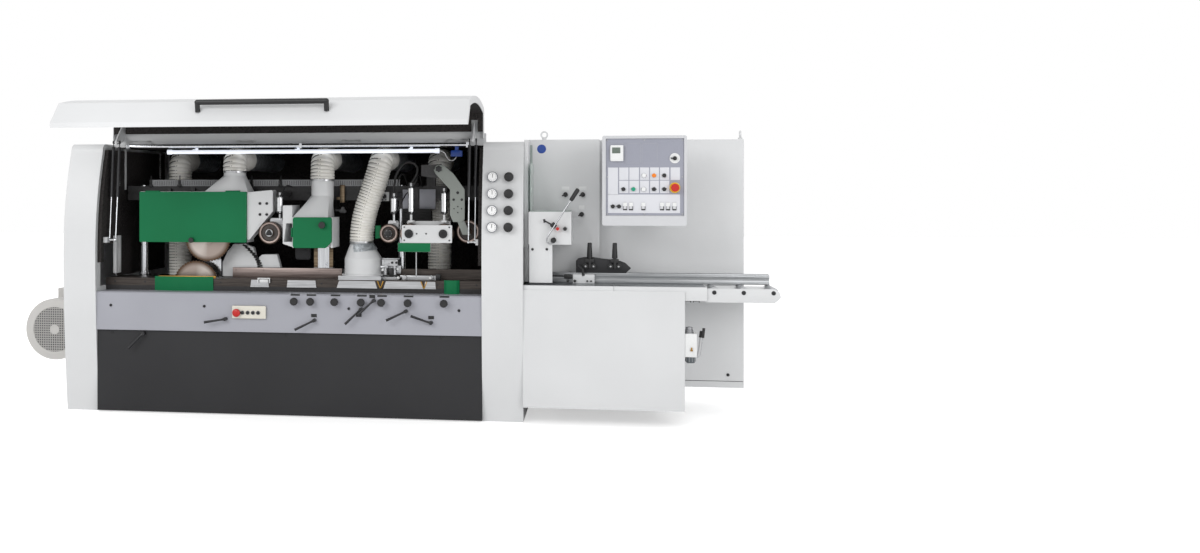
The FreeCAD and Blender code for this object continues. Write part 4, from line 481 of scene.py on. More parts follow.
def ball(mesh, centre, radius_mm):
    made = bmesh.ops.create_uvsphere(mesh, u_segments=20, v_segments=12, radius=radius_mm / 1000)["verts"]
    bmesh.ops.translate(mesh, vec=centre, verts=made)


def centre_line(name, points):
    curve = bpy.data.curves.new(name, "CURVE")
    curve.dimensions = "3D"
    spline = curve.splines.new("NURBS")
    spline.points.add(len(points) - 1)
    for point, place in zip(spline.points, points):
        point.co = (*place, 1.0)
    spline.use_endpoint_u = True
    spline.order_u = 3
    spline.resolution_u = 16
    line = bpy.data.objects.new(name, curve)
    scene.collection.objects.link(line)
    return line, spline.calc_length()


def thin_hose(name, points, radius_mm, finish, body="machine_frame"):
    """A round hose or wire along a smooth line."""
    line, length = centre_line(name + "_line", points)
    line.data.bevel_depth = radius_mm / 1000
    line.data.bevel_resolution = 3
    line.data.use_fill_caps = True
    bpy.context.view_layer.update()
    graph = bpy.context.evaluated_depsgraph_get()
    made = bmesh.new()
    made.from_mesh(bpy.data.meshes.new_from_object(line.evaluated_get(graph)))
    bpy.data.objects.remove(line)
    return add_piece(name, made, finish, body)


# %% [markdown]
# The dust hoses are clear polyurethane on a steel wire spiral. Each is one rib spun about a straight axis,
# repeated by an Array modifier and bent along a smooth curve by a Curve modifier. The wire is a small circle
# spun with a step along the axis, which makes a helix, and bent the same way.


# %% Hose finishes
def hose_film():
    """Milky polyurethane: pale, a little see-through, glossy, with a faint cloud of dust."""
    material, tree, shader, place = new_finish("polyurethane_film", 0.3)
    dust = add_node(tree, "ShaderNodeTexNoise", {"Vector": place, "Scale": per_mm(40), "Detail": 3.0})
    tree.links.new(two_tones(tree, dust.outputs["Fac"], "EEEBE3", "F8F6F1"), shader.inputs["Base Color"])
    shader.inputs["Transmission Weight"].default_value = 0.12
    shader.inputs["IOR"].default_value = 1.5
    return material


HOSE_FILM = hose_film()
HOSE_WIRE = moulded_plastic("hose_wire_cover", "3E3E3D", "525150", 0.4)

# %% Ribbed hoses
HOSE_CREST = 80.0
HOSE_VALLEY = 74.5
RIB_PITCH = 20.0
DUCT_Z = 1656.0


def bent(name, mesh, line, count, pitch):
    """Repeat a straight section along X and bend it along a line; returns the finished mesh."""
    data = bpy.data.meshes.new(name)
    mesh.to_mesh(data)
    mesh.free()
    straight = bpy.data.objects.new(name, data)
    scene.collection.objects.link(straight)
    if count > 1:
        array = straight.modifiers.new("ribs", "ARRAY")
        array.count = count
        array.use_relative_offset = False
        array.use_constant_offset = True
        array.constant_offset_displace = (pitch, 0, 0)
        array.use_merge_vertices = True
        array.merge_threshold = 0.0004
    bend = straight.modifiers.new("bend", "CURVE")
    bend.object = line
    bpy.context.view_layer.update()
    graph = bpy.context.evaluated_depsgraph_get()
    result = bpy.data.meshes.new_from_object(straight.evaluated_get(graph))
    bpy.data.objects.remove(straight)
    final = bmesh.new()
    final.from_mesh(result)
    return final


def dust_hose(name, points):
    line, length = centre_line(name + "_line", points)
    count = round(length * 1000 / RIB_PITCH)
    pitch = length / count
    rib = bmesh.new()
    crest = HOSE_CREST - HOSE_VALLEY
    shares = [0.0, 0.15, 0.3, 0.5, 0.7, 0.85, 1.0]
    profile = [(HOSE_VALLEY + crest * math.sin(math.pi * s) ** 0.8, s * pitch * 1000) for s in shares]
    turned(rib, profile, Vector((0, 0, 0)), (1, 0, 0), 36)
    film = add_piece(name, bent(name + "_film", rib, line, count, pitch), HOSE_FILM, slot="hose_plastic",
                     smooth_below=80)
    wire = bmesh.new()
    ring = bmesh.ops.create_circle(wire, radius=0.003, segments=6)["verts"]
    bmesh.ops.translate(wire, vec=(0, (HOSE_VALLEY + 1.2) / 1000, 0), verts=ring)
    steps = 24
    edges = list({edge for vert in ring for edge in vert.link_edges})
    bmesh.ops.spin(wire, geom=ring + edges, cent=(0, 0, 0), axis=(1, 0, 0), angle=math.tau * count,
                   steps=steps * count, dvec=(pitch / steps, 0, 0))
    add_piece(name + "_wire", bent(name + "_spiral", wire, line, 1, pitch), HOSE_WIRE, slot="hose_plastic")
    bpy.data.objects.remove(line)
    print(name, "is", round(length, 3), "m long with", count, "ribs")
    return film


HOSE_ROUTES = {
    "saw_hose": [at(-430, 272, 1575), at(-430, 272, DUCT_Z), at(-430, 360, DUCT_Z), at(-430, 520, DUCT_Z)],
    "cutter_hose": [at(168, 272, 1520), at(168, 272, DUCT_Z), at(168, 375, DUCT_Z), at(168, 520, DUCT_Z)],
    "side_hose": [at(428, 288, 1100), at(428, 288, 1240), at(520, 288, 1500), at(563, 292, DUCT_Z),
                  at(563, 410, DUCT_Z), at(563, 520, DUCT_Z)],
}
BACK_ROUTE = [(590, 857), (590, 1500), (590, DUCT_Z), (700, DUCT_Z), (780, DUCT_Z)]
for name, x in (("outfeed_back_hose", -926), ("infeed_back_hose", 905)):
    HOSE_ROUTES[name] = [at(x, depth, z) for depth, z in BACK_ROUTE]
for name, route in HOSE_ROUTES.items():
    film = dust_hose(name, route)
    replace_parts(film, "extraction_hoses")

# %% [markdown]
# Every hose end is held by a band clamp: a thin bright strip with a screw block. The band is a thin ring,
# and the block is a small bevelled box on its front.

# %% Hose clamps
CLAMPS = [(at(-430, 272, 1570), UP, 77), (at(168, 272, 1514), UP, 77),
          (at(428, 288, 1108), UP, 78)]
for number, (place, axis, radius) in enumerate(CLAMPS, 1):
    band = bmesh.new()
    turned(band, [(radius, -6), (radius + 2, -6), (radius + 2, 6), (radius, 6), (radius, -6)], place, axis,
           48)
    front = place + Vector((0.02, -(radius + 6) / 1000, 0))
    plate(band, front - Vector((0.016, 0.006, 0.007)), front + Vector((0.016, 0.006, 0.007)), 1.5)
    add_piece("hose_clamp_%d" % number, band, BRIGHT_STEEL)

# %% [markdown]
# The control panel is a blue-grey plate with paler fields for each switch, as silk-screened panels have.
# Symbols and words are left off. The push buttons are a chromed ring with a coloured cap.

# %% Control panel
PANEL_DEPTH = -42.0
PANEL_BLUE = powder_coat("panel_blue_grey", "8E909C", "9698A4", 0.45)
PANEL_PALE = powder_coat("panel_pale_field", "CDCED3", "D4D5DA", 0.5)
SWITCH_X = 2425
STOP_PLACE = (SWITCH_X, 1463)
STOP_HOLE = 15
sheet = bmesh.new()
outer = [(2014, 1296), (2479, 1296), (2479, 1761), (2014, 1761)]
CORNERS = ((-1, -1), (1, -1), (1, 1), (-1, 1))
inner = [(STOP_PLACE[0] + STOP_HOLE * i, STOP_PLACE[1] + STOP_HOLE * j) for i, j in CORNERS]
rims = [[sheet.verts.new(at(x, PANEL_DEPTH - 1.2, z)) for x, z in rim] for rim in (outer, inner)]
fronts = [sheet.faces.new((rims[0][i], rims[0][(i + 1) % 4], rims[1][(i + 1) % 4],
                           rims[1][i])) for i in range(4)]
drawn = bmesh.ops.extrude_face_region(sheet, geom=fronts)["geom"]
bmesh.ops.translate(sheet, vec=(0, 0.0012, 0),
                    verts=[v for v in drawn if isinstance(v, bmesh.types.BMVert)])
add_piece("panel_sheet", sheet, PANEL_BLUE, slot="control_paint")

fields = bmesh.new()
COLUMNS = [(2093, 2149), (2154, 2212), (2218, 2272), (2278, 2331), (2337, 2392)]
field_boxes = [(2026, 2086, 1420, 1586), (2026, 2456, 1309, 1422), (2400, 2456, 1510, 1586)]
for x0, x1 in COLUMNS:
    field_boxes.append((x0, x1, 1510, 1586))
    field_boxes.append((x0, x1, 1430, 1506))
for x0, x1, z0, z1 in field_boxes:
    plate(fields, at(x0, PANEL_DEPTH - 2.0, z0), at(x1, PANEL_DEPTH - 1.0, z1), 0.4)
add_piece("panel_fields", fields, PANEL_PALE, slot="control_paint")

frames = bmesh.new()
for x0, x1 in ((2033, 2125), (2136, 2222), (2230, 2322)):
    for low, high in (((x0, 1612), (x1, 1614)), ((x0, 1731), (x1, 1733)), ((x0, 1612), (x0 + 2, 1733)),
                      ((x1 - 2, 1612), (x1, 1733))):
        plate(frames, at(low[0], PANEL_DEPTH - 1.8, low[1]), at(high[0], PANEL_DEPTH - 1.0, high[1]), 0)
add_piece("panel_lines", frames, APRON, slot="control_paint")


def push_button(name, x, z, finish):
    ring = bmesh.new()
    centre = at(x, PANEL_DEPTH - 1.5, z)
    turned(ring, [(0, 0), (16, 0), (16, 4), (13.5, 6), (0, 6)], centre, OUT)
    add_piece(name + "_ring", ring, CHROME)
    cap = bmesh.new()
    turned(cap, [(0, 5), (12.5, 5), (12.5, 14), (10.625, 16.5), (0, 17)], centre, OUT)
    add_piece(name + "_cap", cap, finish)


BUTTONS = [("heater", 2241, 1537, WHITE_PLASTIC), ("feed", 2301, 1537, ORANGE_PLASTIC),
           ("speed", 2362, 1537, BLACK_PLASTIC), ("saw_stop", 2118, 1454, BLACK_PLASTIC),
           ("start", 2178, 1454, TEAL_PLASTIC), ("jog", 2239, 1454, WHITE_PLASTIC),
           ("raise", 2301, 1454, BLACK_PLASTIC), ("lower", 2362, 1454, BLACK_PLASTIC),
           ("dial_left", 2055, 1349, BLACK_PLASTIC), ("dial_right", 2092, 1349, BLACK_PLASTIC)]
for name, x, z, finish in BUTTONS:
    push_button("button_" + name, x, z, finish)

collar = bmesh.new()
turned(collar, [(12.3, 0), (33, 0), (33, 3), (31, 9), (12.3, 9), (12.3, 0)],
       at(SWITCH_X, PANEL_DEPTH, STOP_PLACE[1]), OUT, 40)
add_piece("stop_collar", collar, YELLOW_PLASTIC)

mains = bmesh.new()
turned(mains, [(0, 0), (31, 0), (31, 3), (29, 5), (0, 5)], at(SWITCH_X, PANEL_DEPTH - 1, 1641), OUT, 40)
add_piece("mains_disc", mains, WHITE_PLASTIC, slot="bright_steel")
lock = bmesh.new()
turned(lock, [(0, 4), (13, 4), (12, 19), (9, 21), (0, 21)], at(SWITCH_X, PANEL_DEPTH - 1, 1641), OUT, 24)
plate(lock, at(2401, PANEL_DEPTH - 22, 1637), at(SWITCH_X, PANEL_DEPTH - 12, 1645), 1.5)
add_piece("mains_switch", lock, BLACK_PLASTIC)

rockers, rocker_tops = bmesh.new(), bmesh.new()
for x in (2128, 2164, 2238, 2349, 2385, 2423):
    plate(rockers, at(x - 12, PANEL_DEPTH - 7, 1326), at(x + 12, PANEL_DEPTH - 1, 1350), 1.5)
    plate(rocker_tops, at(x - 12, PANEL_DEPTH - 10, 1350), at(x + 12, PANEL_DEPTH - 1, 1372), 1.5)
add_piece("rocker_feet", rockers, BLACK_PLASTIC)
add_piece("rocker_tops", rocker_tops, WHITE_PLASTIC)

meter = bmesh.new()
plate(meter, at(2041, PANEL_DEPTH - 18, 1624), at(2118, PANEL_DEPTH - 1, 1722), 4, 3)
add_piece("counter_case", meter, WHITE_PLASTIC)
window = bmesh.new()
plate(window, at(2050, PANEL_DEPTH - 19.5, 1672), at(2100, PANEL_DEPTH - 17, 1708), 1)
add_piece("counter_window", window, moulded_plastic("display_glass", "5B665E", "6A756C", 0.15))

screws = bmesh.new()
PANEL_SCREWS = [(2022, 1752), (2244, 1752), (2470, 1752), (2022, 1528), (2470, 1528),
                (2022, 1304), (2244, 1304), (2470, 1304)]
bolts(screws, PANEL_SCREWS, PANEL_DEPTH - 1.2, 4.5, 3)
add_piece("panel_screws", screws, BRIGHT_STEEL)

# %% [markdown]
# On the right column each spindle has a pressure gauge and a regulator. The gauge is a thin dark rim, a
# white dial with plain marks and a needle. The regulator is a fluted black knob. The column's front is
# curved, so each place is worked out from the two arcs that the CAD model uses.


# %% Gauges and regulators
def column_front(z):
    """Depth of the right column's front at a height, both in millimetres."""
    span, sag = (1035.0, 65.0) if z < 1035 else (720.0, 138.0)
    radius = (span ** 2 + sag ** 2) / (2 * sag)
    return radius - math.sqrt(radius ** 2 - (z - 1035) ** 2) - 20


DIAL_WHITE = moulded_plastic("printed_dial", "EDEDED", "F6F6F6", 0.4)
GAUGE_RIM = moulded_plastic("gauge_rim_plastic", "4C525C", "5A606A", 0.4)
rings, dials, needles, knobs = bmesh.new(), bmesh.new(), bmesh.new(), bmesh.new()
for z in (1531, 1426, 1322, 1218):
    front = column_front(z)
    centre = at(1314, front - 24, z)
    turned(rings, [(31.5, -2), (32.5, 0), (32.5, 9), (31, 11), (29, 10), (29, 6)],
           centre + Vector((0, 0.006, 0)),
           OUT, 40)
    turned(dials, [(0, 8), (29.3, 8)], centre + Vector((0, 0.006, 0)), OUT, 40)
    middle = centre + Vector((0, -0.0035, 0))
    small_block(needles, middle + Vector((0, 0, 0.008)), (1.2, 0.8, 12))
    for step in range(9):
        turn = Matrix.Rotation(math.radians(225 - 33.75 * step), 3, "Y")
        small_block(needles, middle + turn @ Vector((0, 0, 0.0215)), (0.9, 0.4, 2.4))
    face = at(1416, front - 44, z)
    turned(knobs, [(0, 1.5), (20, 1.5), (24, 0), (28, -2), (28.5, -26), (25, -30), (12, -30)], face, OUT,
           40)
    for rib in ring_of(at(1416, front - 30, z), 20, 28.7):
        small_block(knobs, rib, (1.6, 11, 1.6))
add_piece("gauge_rings", rings, GAUGE_RIM)
add_piece("gauge_dials", dials, DIAL_WHITE)
add_piece("gauge_needles", needles, BLACK_PLASTIC)
add_piece("regulator_knobs", knobs, BLACK_PLASTIC)

# %% [markdown]
# The apron carries a small button station and a row of fluted locking knobs. The station is a pale moulded
# box with a red mushroom button and dark push buttons in bright rings.

# %% Button station and knobs on the apron
STATION_PALE = moulded_plastic("station_moulding", "D2CEC2", "DDD9CE", 0.4)
STATION_FACE = -16
KNOB_Z = 740
case = bmesh.new()
plate(case, at(-361, -17, 624), at(-136, -1, 707), 6, 3)
add_piece("station_case", case, STATION_PALE)
caps, bezels = bmesh.new(), bmesh.new()
for x in (-290, -255, -220, -186):
    button = at(x, STATION_FACE, 663)
    turned(bezels, [(0, 0), (14, 0), (14, 3), (12.5, 5), (0, 5)], button, OUT, 28)
    turned(caps, [(0, 4), (10.5, 4), (10.5, 9), (9, 10.5), (0, 11)], button, OUT, 28)
add_piece("station_bezels", bezels, BRIGHT_STEEL)
add_piece("station_caps", caps, BLACK_PLASTIC)
mushroom = bmesh.new()
turned(mushroom, [(0, 0), (15, 0), (15, 9), (25, 13), (26, 18), (21, 23), (10, 25.5), (0, 26)],
       at(-327, STATION_FACE, 662),
       OUT, 36)
add_piece("station_stop", mushroom, RED_PLASTIC)

stems, grips = bmesh.new(), bmesh.new()
for x in (53, 159, 316, 487, 617, 786, 1014):
    foot = at(x, 0, KNOB_Z)
    turned(stems, [(9, 0), (15, 0), (15, 5), (9, 6), (9, 20)], foot, OUT, 24)
    turned(grips, [(8, 24), (19, 23), (23.5, 26), (24, 42), (21, 46.5), (8, 47), (0, 46)], foot, OUT, 32)
    for rib in ring_of(at(x, -34, KNOB_Z), 14, 23.8):
        small_block(grips, rib, (1.7, 8, 1.7))
add_piece("apron_knob_stems", stems, BRIGHT_STEEL)
add_piece("apron_knob_grips", grips, BLACK_PLASTIC)

# %% [markdown]
# Black foam lines the back and the roof of the enclosure, so the work stands out against it. The ducts pass
# through. On the left wall the foam is held by toothed strips and a bright rail, and a bright post stands
# behind the gas strut.

# %% Lining and edge strips
LINING_LEFT, LINING_RIGHT = -1258, 1224
LEFT_WALL = -1260
TOOTH_PITCH = 14
lining = bmesh.new()
plate(lining, at(LINING_LEFT, 1262, 866), at(LINING_RIGHT, 1290, 1734), 3)
plate(lining, at(LINING_LEFT, 300, 1735), at(LINING_RIGHT, 1262, 1749), 3)
add_piece("enclosure_lining", lining, FOAM)

teeth = bmesh.new()
for depth, low, high in ((302, 1477, 1711), (1064, 1537, 1736)):
    for z in range(low, high - TOOTH_PITCH + 1, TOOTH_PITCH):
        plate(teeth, at(LEFT_WALL, depth - 6, z), at(-1252, depth + 6, z + 9), 1)
    plate(teeth, at(LEFT_WALL, depth - 2, low), at(-1256, depth + 2, high), 0.5)
plate(teeth, at(LEFT_WALL, 405, 1451), at(-1253, 427, 1741), 1)
plate(teeth, at(LEFT_WALL, 211, 890), at(-1240, 250, 1142), 2)
plate(teeth, at(LEFT_WALL, 262, 890), at(-1240, 300, 1142), 2)
add_piece("lining_strips", teeth, HOUSING)

# %% [markdown]
# Each feed roller is a fluted steel tyre on a dished wheel. The flutes are drawn as steps around a ring. The
# wheel has a bright turned ring and a dark dish, and a black star nut closes its axle.


# %% Feed rollers
def fluted_ring(mesh, x, z, front, back, outer, inner, flutes, groove):
    """A ring about the depth axis whose outside is cut by flutes."""
    loops = []
    for step in range(flutes * 4):
        angle = math.tau * step / (flutes * 4)
        crest = outer if step % 4 < 2 else outer - groove
        corners = [(crest, front), (crest, back), (inner, back), (inner, front)]
        loops.append([mesh.verts.new(at(x + r * math.cos(angle), d, z + r * math.sin(angle))) for r,
                      d in corners])
    for near, far in zip(loops, loops[1:] + loops[:1]):
        for corner in range(4):
            after = (corner + 1) % 4
            mesh.faces.new((near[corner], near[after], far[after], far[corner]))


WHEEL_DARK = painted_casting("roller_wheel_iron", "332D2A", "443C38")
ROLLER_Z = 1170
ROLLER_FRONT = 136
ROLLERS = {"outfeed_roller": (-154, ROLLER_Z, 73, ROLLER_FRONT),
           "middle_roller": (635, ROLLER_Z, 60, ROLLER_FRONT),
           "carrier_roller_left": (771, ROLLER_Z, 64, ROLLER_FRONT),
           "carrier_roller_right": (991, ROLLER_Z, 64, ROLLER_FRONT),
           "infeed_roller": (1138, 1182, 74, 222)}
for name, (x, z, radius, front) in ROLLERS.items():
    tyre = bmesh.new()
    fluted_ring(tyre, x, z, front + 1, front + 61, radius + 0.6, radius - 1, 40, 2.0)
    add_piece(name + "_flutes", tyre, ROLLER_STEEL, name + "_body")
    face = at(x, front, z)
    ring = bmesh.new()
    inner = radius - 16
    turned(ring, [(inner, -6), (inner + 1, 1), (inner + 3, 1.6), (radius - 6, 1.6), (radius - 5, 0.6)],
           face, OUT, 56)
    add_piece(name + "_ring", ring, RING_STEEL, name + "_body")
    dish = bmesh.new()
    turned(dish, [(inner, -3), (inner - 5, -9), (27.5, -11), (25, -6), (17, -5)], face, OUT, 48)
    for hole in ring_of(at(x, front + 11.5, z), 6, (inner + 22) / 2):
        turned(dish, [(0, 0), (3.5, 0), (3.5, 3), (0, 3)], hole, OUT, 10)
    add_piece(name + "_dish", dish, WHEEL_DARK, name + "_body", slot="bronze_steel")

for arm, x, radius, lobes in (("outfeed_roller_arm", -154, 22, 3), ("middle_roller_arm", 635, 30, 6)):
    nut = bmesh.new()
    lobed_knob(nut, x, 125, ROLLER_Z, radius, lobes, 9, 0.3)
    turned(nut, [(0, 0), (11, 0), (11, 5), (9, 7), (0, 7)], at(x, 116, ROLLER_Z), OUT, 20)
    add_piece(arm + "_nut", nut, BLACK_PLASTIC, arm + "_body")

# %% [markdown]
# The feed beam carries bright air cylinders with black end caps and push-in fittings. Black hoses join them,
# and a slotted wiring duct with small black latches runs along its top.

# %% Feed beam fittings
CYLINDER_DEPTH = 172
CYLINDER_TOPS = {-94: 1410, 664: 1404, 776: 1470, 990: 1437}
barrels, caps, fittings = bmesh.new(), bmesh.new(), bmesh.new()
for x, top in CYLINDER_TOPS.items():
    bar(barrels, at(x, CYLINDER_DEPTH, 1309), at(x, CYLINDER_DEPTH, top - 9), 20.8, 28)
    bar(caps, at(x, CYLINDER_DEPTH, 1299), at(x, CYLINDER_DEPTH, 1310), 22.5, 28)
    bar(caps, at(x, CYLINDER_DEPTH, top - 10), at(x, CYLINDER_DEPTH, top + 3), 22.5, 28)
    bar(fittings, at(x + 8, 155, top - 4), at(x + 8, 140, top - 4), 6, 12)
    bar(fittings, at(x + 8, 155, 1305), at(x + 8, 140, 1305), 6, 12)
    bar(fittings, at(x, CYLINDER_DEPTH, top + 3), at(x, CYLINDER_DEPTH, top + 24), 8, 14)
add_piece("air_barrels", barrels, BARREL, "feed_beam_body")
add_piece("air_cylinder_caps", caps, BLACK_COAT, "feed_beam_body")
add_piece("air_fittings", fittings, BRIGHT_STEEL, "feed_beam_body")

AIR_HOSES = {
    "air_hose_1": [at(664, 172, 1426), at(662, 172, 1480), at(680, 176, 1560), at(725, 180, 1622),
                   at(778, 180, 1630),
                   at(822, 178, 1596), at(806, 172, 1530), at(776, 172, 1494)],
    "air_hose_2": [at(672, 142, 1400), at(700, 140, 1440), at(690, 150, 1500), at(706, 200, 1560),
                   at(716, 300, 1540),
                   at(720, 396, 1470)],
    "air_hose_3": [at(784, 140, 1466), at(812, 140, 1500), at(820, 170, 1540), at(818, 300, 1540),
                   at(816, 396, 1470)],
    "air_hose_4": [at(998, 140, 1433), at(1020, 146, 1460), at(1010, 250, 1500), at(1000, 396, 1470)],
    "air_hose_5": [at(-86, 140, 1406), at(-66, 140, 1436), at(-70, 250, 1490), at(-74, 396, 1470)],
    "air_hose_6": [at(672, 140, 1305), at(700, 132, 1320), at(722, 150, 1380), at(730, 260, 1430),
                   at(732, 394, 1440)],
}
for name, points in AIR_HOSES.items():
    radius = 7.0 if name == "air_hose_1" else 4.0
    thin_hose(name, points, radius, RUBBER, "feed_beam_body")

DUCT_GREY = moulded_plastic("wiring_duct_grey", "9B9C9E", "AEAFB1", 0.5)
comb = bmesh.new()
DUCT_LEFT, DUCT_RIGHT = -1070, 664
COMB_PITCH = 12.56
for step in range(138):
    x = DUCT_LEFT + 2 + step * COMB_PITCH
    plate(comb, at(x, 396, 1480), at(x + 8.5, 400, 1514), 0)
plate(comb, at(DUCT_LEFT, 395, 1513), at(DUCT_RIGHT, 421, 1519), 1)
plate(comb, at(DUCT_LEFT, 396, 1476), at(DUCT_RIGHT, 400, 1481), 0.5)
add_piece("duct_comb", comb, DUCT_GREY, "feed_beam_body")
latches = bmesh.new()
for x in (-1066, -861, -352, -150):
    bar(latches, at(x, 398, 1519), at(x + 2, 396, 1548), 3.5, 10)
    plate(latches, at(x - 14, 384, 1470), at(x + 14, 396, 1488), 2)
    plate(latches, at(x - 9, 388, 1488), at(x + 9, 395, 1519), 1)
for x, z in ((-930, 1440), (-760, 1446), (-300, 1440), (60, 1446), (420, 1440), (560, 1400)):
    plate(latches, at(x - 16, 376, z - 20), at(x + 16, 399, z + 20), 3)
add_piece("beam_blocks", latches, BLACK_PLASTIC, "feed_beam_body")
cover = bmesh.new()
profiled(cover, [(684, 1326), (756, 1326), (756, 1452), (684, 1452)], 391, 393.5, 0.5)
profiled(cover, [(797, 1326), (904, 1326), (904, 1454), (797, 1454)], 391, 393.5, 0.5)
bolts(cover, ((696, 1440), (744, 1440), (810, 1440), (892, 1440), (892, 1340)), 391, 6, 4)
add_piece("beam_cover_plate", cover, APRON, "feed_beam_body")
bellows = bmesh.new()
for step in range(9):
    plate(bellows, at(690, 330 - (step % 2) * 3, 1232 + step * 10), at(884, 392, 1240 + step * 10), 2)
plate(bellows, at(694, 336, 1230), at(880, 390, 1326), 0)
add_piece("beam_bellows", bellows, RUBBER, "feed_beam_body")
gauge_body = bmesh.new()
plate(gauge_body, at(540, 384, 1376), at(592, 399, 1436), 2)
turned(gauge_body, [(0, 0), (21, 0), (21, 10), (19, 12), (16, 11), (16, 8)], at(562, 384, 1407), OUT, 32)
add_piece("pressure_gauge_body", gauge_body, WHITE_PLASTIC, "feed_beam_body", slot="bright_steel")
gauge_face = bmesh.new()
plate(gauge_face, at(561, 374, 1405), at(563, 375.5, 1420), 0)
turned(gauge_face, [(16, 8.2), (17.5, 12.2), (18.5, 12.2)], at(562, 384, 1407), OUT, 32)
add_piece("pressure_gauge_marks", gauge_face, BLACK_PLASTIC, "feed_beam_body")
post = bmesh.new()
plate(post, at(262, 372, 1366), at(294, 400, 1484), 3)
plate(post, at(236, 380, 1384), at(262, 399, 1404), 2)
add_piece("beam_post", post, GUIDE_STEEL, "feed_beam_body")

# %% [markdown]
# Behind the fence stand the lower dust chutes in grey sheet, with a dark ribbed sleeve between them. Steel
# wear plates face the fence, brown ways flank the slide of the top cutter, and gib plates edge the table.

# %% Chutes, fence and table edge
chute = bmesh.new()
profiled(chute, [(-539, 867.5), (-539, 960), (-505, 1035), (-461, 1087), (-380, 1090), (-324, 1066),
                 (-295, 943),
                 (-295, 867.5)], 335, 388, 6)
profiled(chute, [(-285, 867.5), (-285, 1000), (-262, 1018), (-159, 1020), (-130, 907), (-140, 867.5)], 335,
         388, 6)
add_piece("lower_chutes", chute, HOUSING)
sleeve = bmesh.new()
for step in range(12):
    share = step / 11
    x, z = -392 + 116 * share + 24 * math.sin(math.pi * share), 1086 - 176 * share
    bar(sleeve, at(x - 3, 334, z - 6), at(x + 30, 334, z - 16), 6, 12)
add_piece("chute_sleeve", sleeve, RUBBER)
face = bmesh.new()
plate(face, at(-454, 298.6, 869), at(292, 299.8, 930), 0.4)
for x in (-430, -240, -50, 140, 280):
    turned(face, [(0, 0), (5, 0), (4, 0.8), (0, 0.8)], at(x, 298.6, 915), OUT, 16)
add_piece("fence_wear_plate", face, FENCE_STEEL)
ways = bmesh.new()
for x in (98, 201):
    plate(ways, at(x, 321.4, 934), at(x + 26, 323, 1071), 0.4)
add_piece("slide_ways", ways, GUIDE_STEEL)
wells = bmesh.new()
for x in (-1190, -1110, -503, -451, -381, -290, -100, 60, 200):
    turned(wells, [(0, 0.4), (6.5, 0.4), (8.5, 0)], at(x, 202, 867), UP, 20)
for x in (-1220, -1010, -490, 20, 190, 950, 1200):
    turned(wells, [(0, 0.4), (5, 0.4), (6.5, 0)], at(x, 149.6, 842), OUT, 18)
add_piece("table_bolt_wells", wells, BLACK_PLASTIC)
edge = bmesh.new()
plate(edge, at(-916, 150.2, 867.2), at(-524, 154, 882), 0.5)
VEE = [(-22, 862), (-15, 862), (-2, 826), (2, 826), (15, 862), (22, 862), (5, 817), (-5, 817)]
for x in (580, 863):
    profiled(edge, [(x + across, z) for across, z in VEE], 139, 149.8, 0.6)
add_piece("brass_edges", edge, BRASS)
clip = bmesh.new()
for x0, x1, z0, z1 in ((-233, -151, 870, 876), (-233, -227, 843, 870), (-157, -151, 843, 870),
                       (-220, -164, 846, 866)):
    plate(clip, at(x0, 128, z0), at(x1, 140.6, z1), 1)
add_piece("gib_clip", clip, WHITE_PLASTIC, slot="bright_steel")
lid = bmesh.new()
profiled(lid, [(-34, 1072), (-34, 1000), (-24, 984), (62, 984), (72, 1000), (72, 1072)], 330, 380, 6)
add_piece("cutter_motor_lid", lid, CHARCOAL)
band = bmesh.new()
LEAN = Vector((428 - 439, -2, 99)).normalized()
cone_top = at(428, 288, 1100)
turned(band, [(100, -50), (101.5, -50), (77, -1), (78.5, 3), (75.5, 3), (75.5, -1)], cone_top, LEAN, 48)
add_piece("hood_neck_band", band, GALVANISED)
tab = bmesh.new()
profiled(tab, [(520, 1130), (588, 1140), (588, 1148), (556, 1150), (556, 1216), (520, 1216)],
         281, 284, 0.6)
add_piece("side_deflector", tab, GREEN)

# %% [markdown]
# On the table beside the upright spindle stand the pressure shoe and its rail. They carry black knobs, white
# ball grips and bright spindles. Under the twin carrier hangs a green deflector, and a thin rod holds it.

# %% Pressure shoe, rail and deflector
grips = bmesh.new()
for x, depth, z, radius in ((583, 214, 931, 10), (682, 214, 936, 9), (686, 200, 880, 11),
                            (896, 200, 880, 11)):
    ball(grips, at(x, depth, z), radius)
add_piece("ball_grips", grips, WHITE_PLASTIC)
rods = bmesh.new()
bar(rods, at(583, 214, 931), at(583, 262, 931), 4)
bar(rods, at(682, 214, 936), at(652, 262, 936), 4)
bar(rods, at(686, 200, 880), at(703, 240, 880), 4)
bar(rods, at(896, 200, 880), at(896, 236, 880), 5)
bar(rods, at(797, 250, 887), at(797, 250, 1046), 5)
plate(rods, at(690, 248, 880), at(930, 258, 893), 1.5)
plate(rods, at(576, 232, 1001), at(690, 236, 1005), 0.5)
plate(rods, at(560, 246, 940), at(610, 290, 954), 2)
plate(rods, at(600, 286, 900), at(690, 298, 955), 3)
bolts(rods, ((590, 985), (618, 970), (655, 988)), 240, 5, 4)
add_piece("shoe_rods", rods, BRIGHT_STEEL)
dark = bmesh.new()
for x, z in ((640, 977), (668, 977)):
    lobed_knob(dark, x, 240, z, 8, 5, 14)
plate(dark, at(622, 230, 890), at(644, 262, 940), 2)
plate(dark, at(586, 232, 886), at(676, 244, 897), 1.5)
lobed_knob(dark, 320, 214, 1317, 24, 3, 16, 0.35)
bar(dark, at(268, 224, 1317), at(322, 224, 1317), 7)
plate(dark, at(930, 210, 868), at(960, 250, 905), 2)
add_piece("shoe_knobs", dark, BLACK_PLASTIC)
carried = bmesh.new()
plate(carried, at(699.5, 114.5, 1054.5), at(908.5, 116.2, 1111), 0.5)
add_piece("carrier_deflector_face", carried, GREEN, "twin_roller_carrier_body")
carrier_caps = bmesh.new()
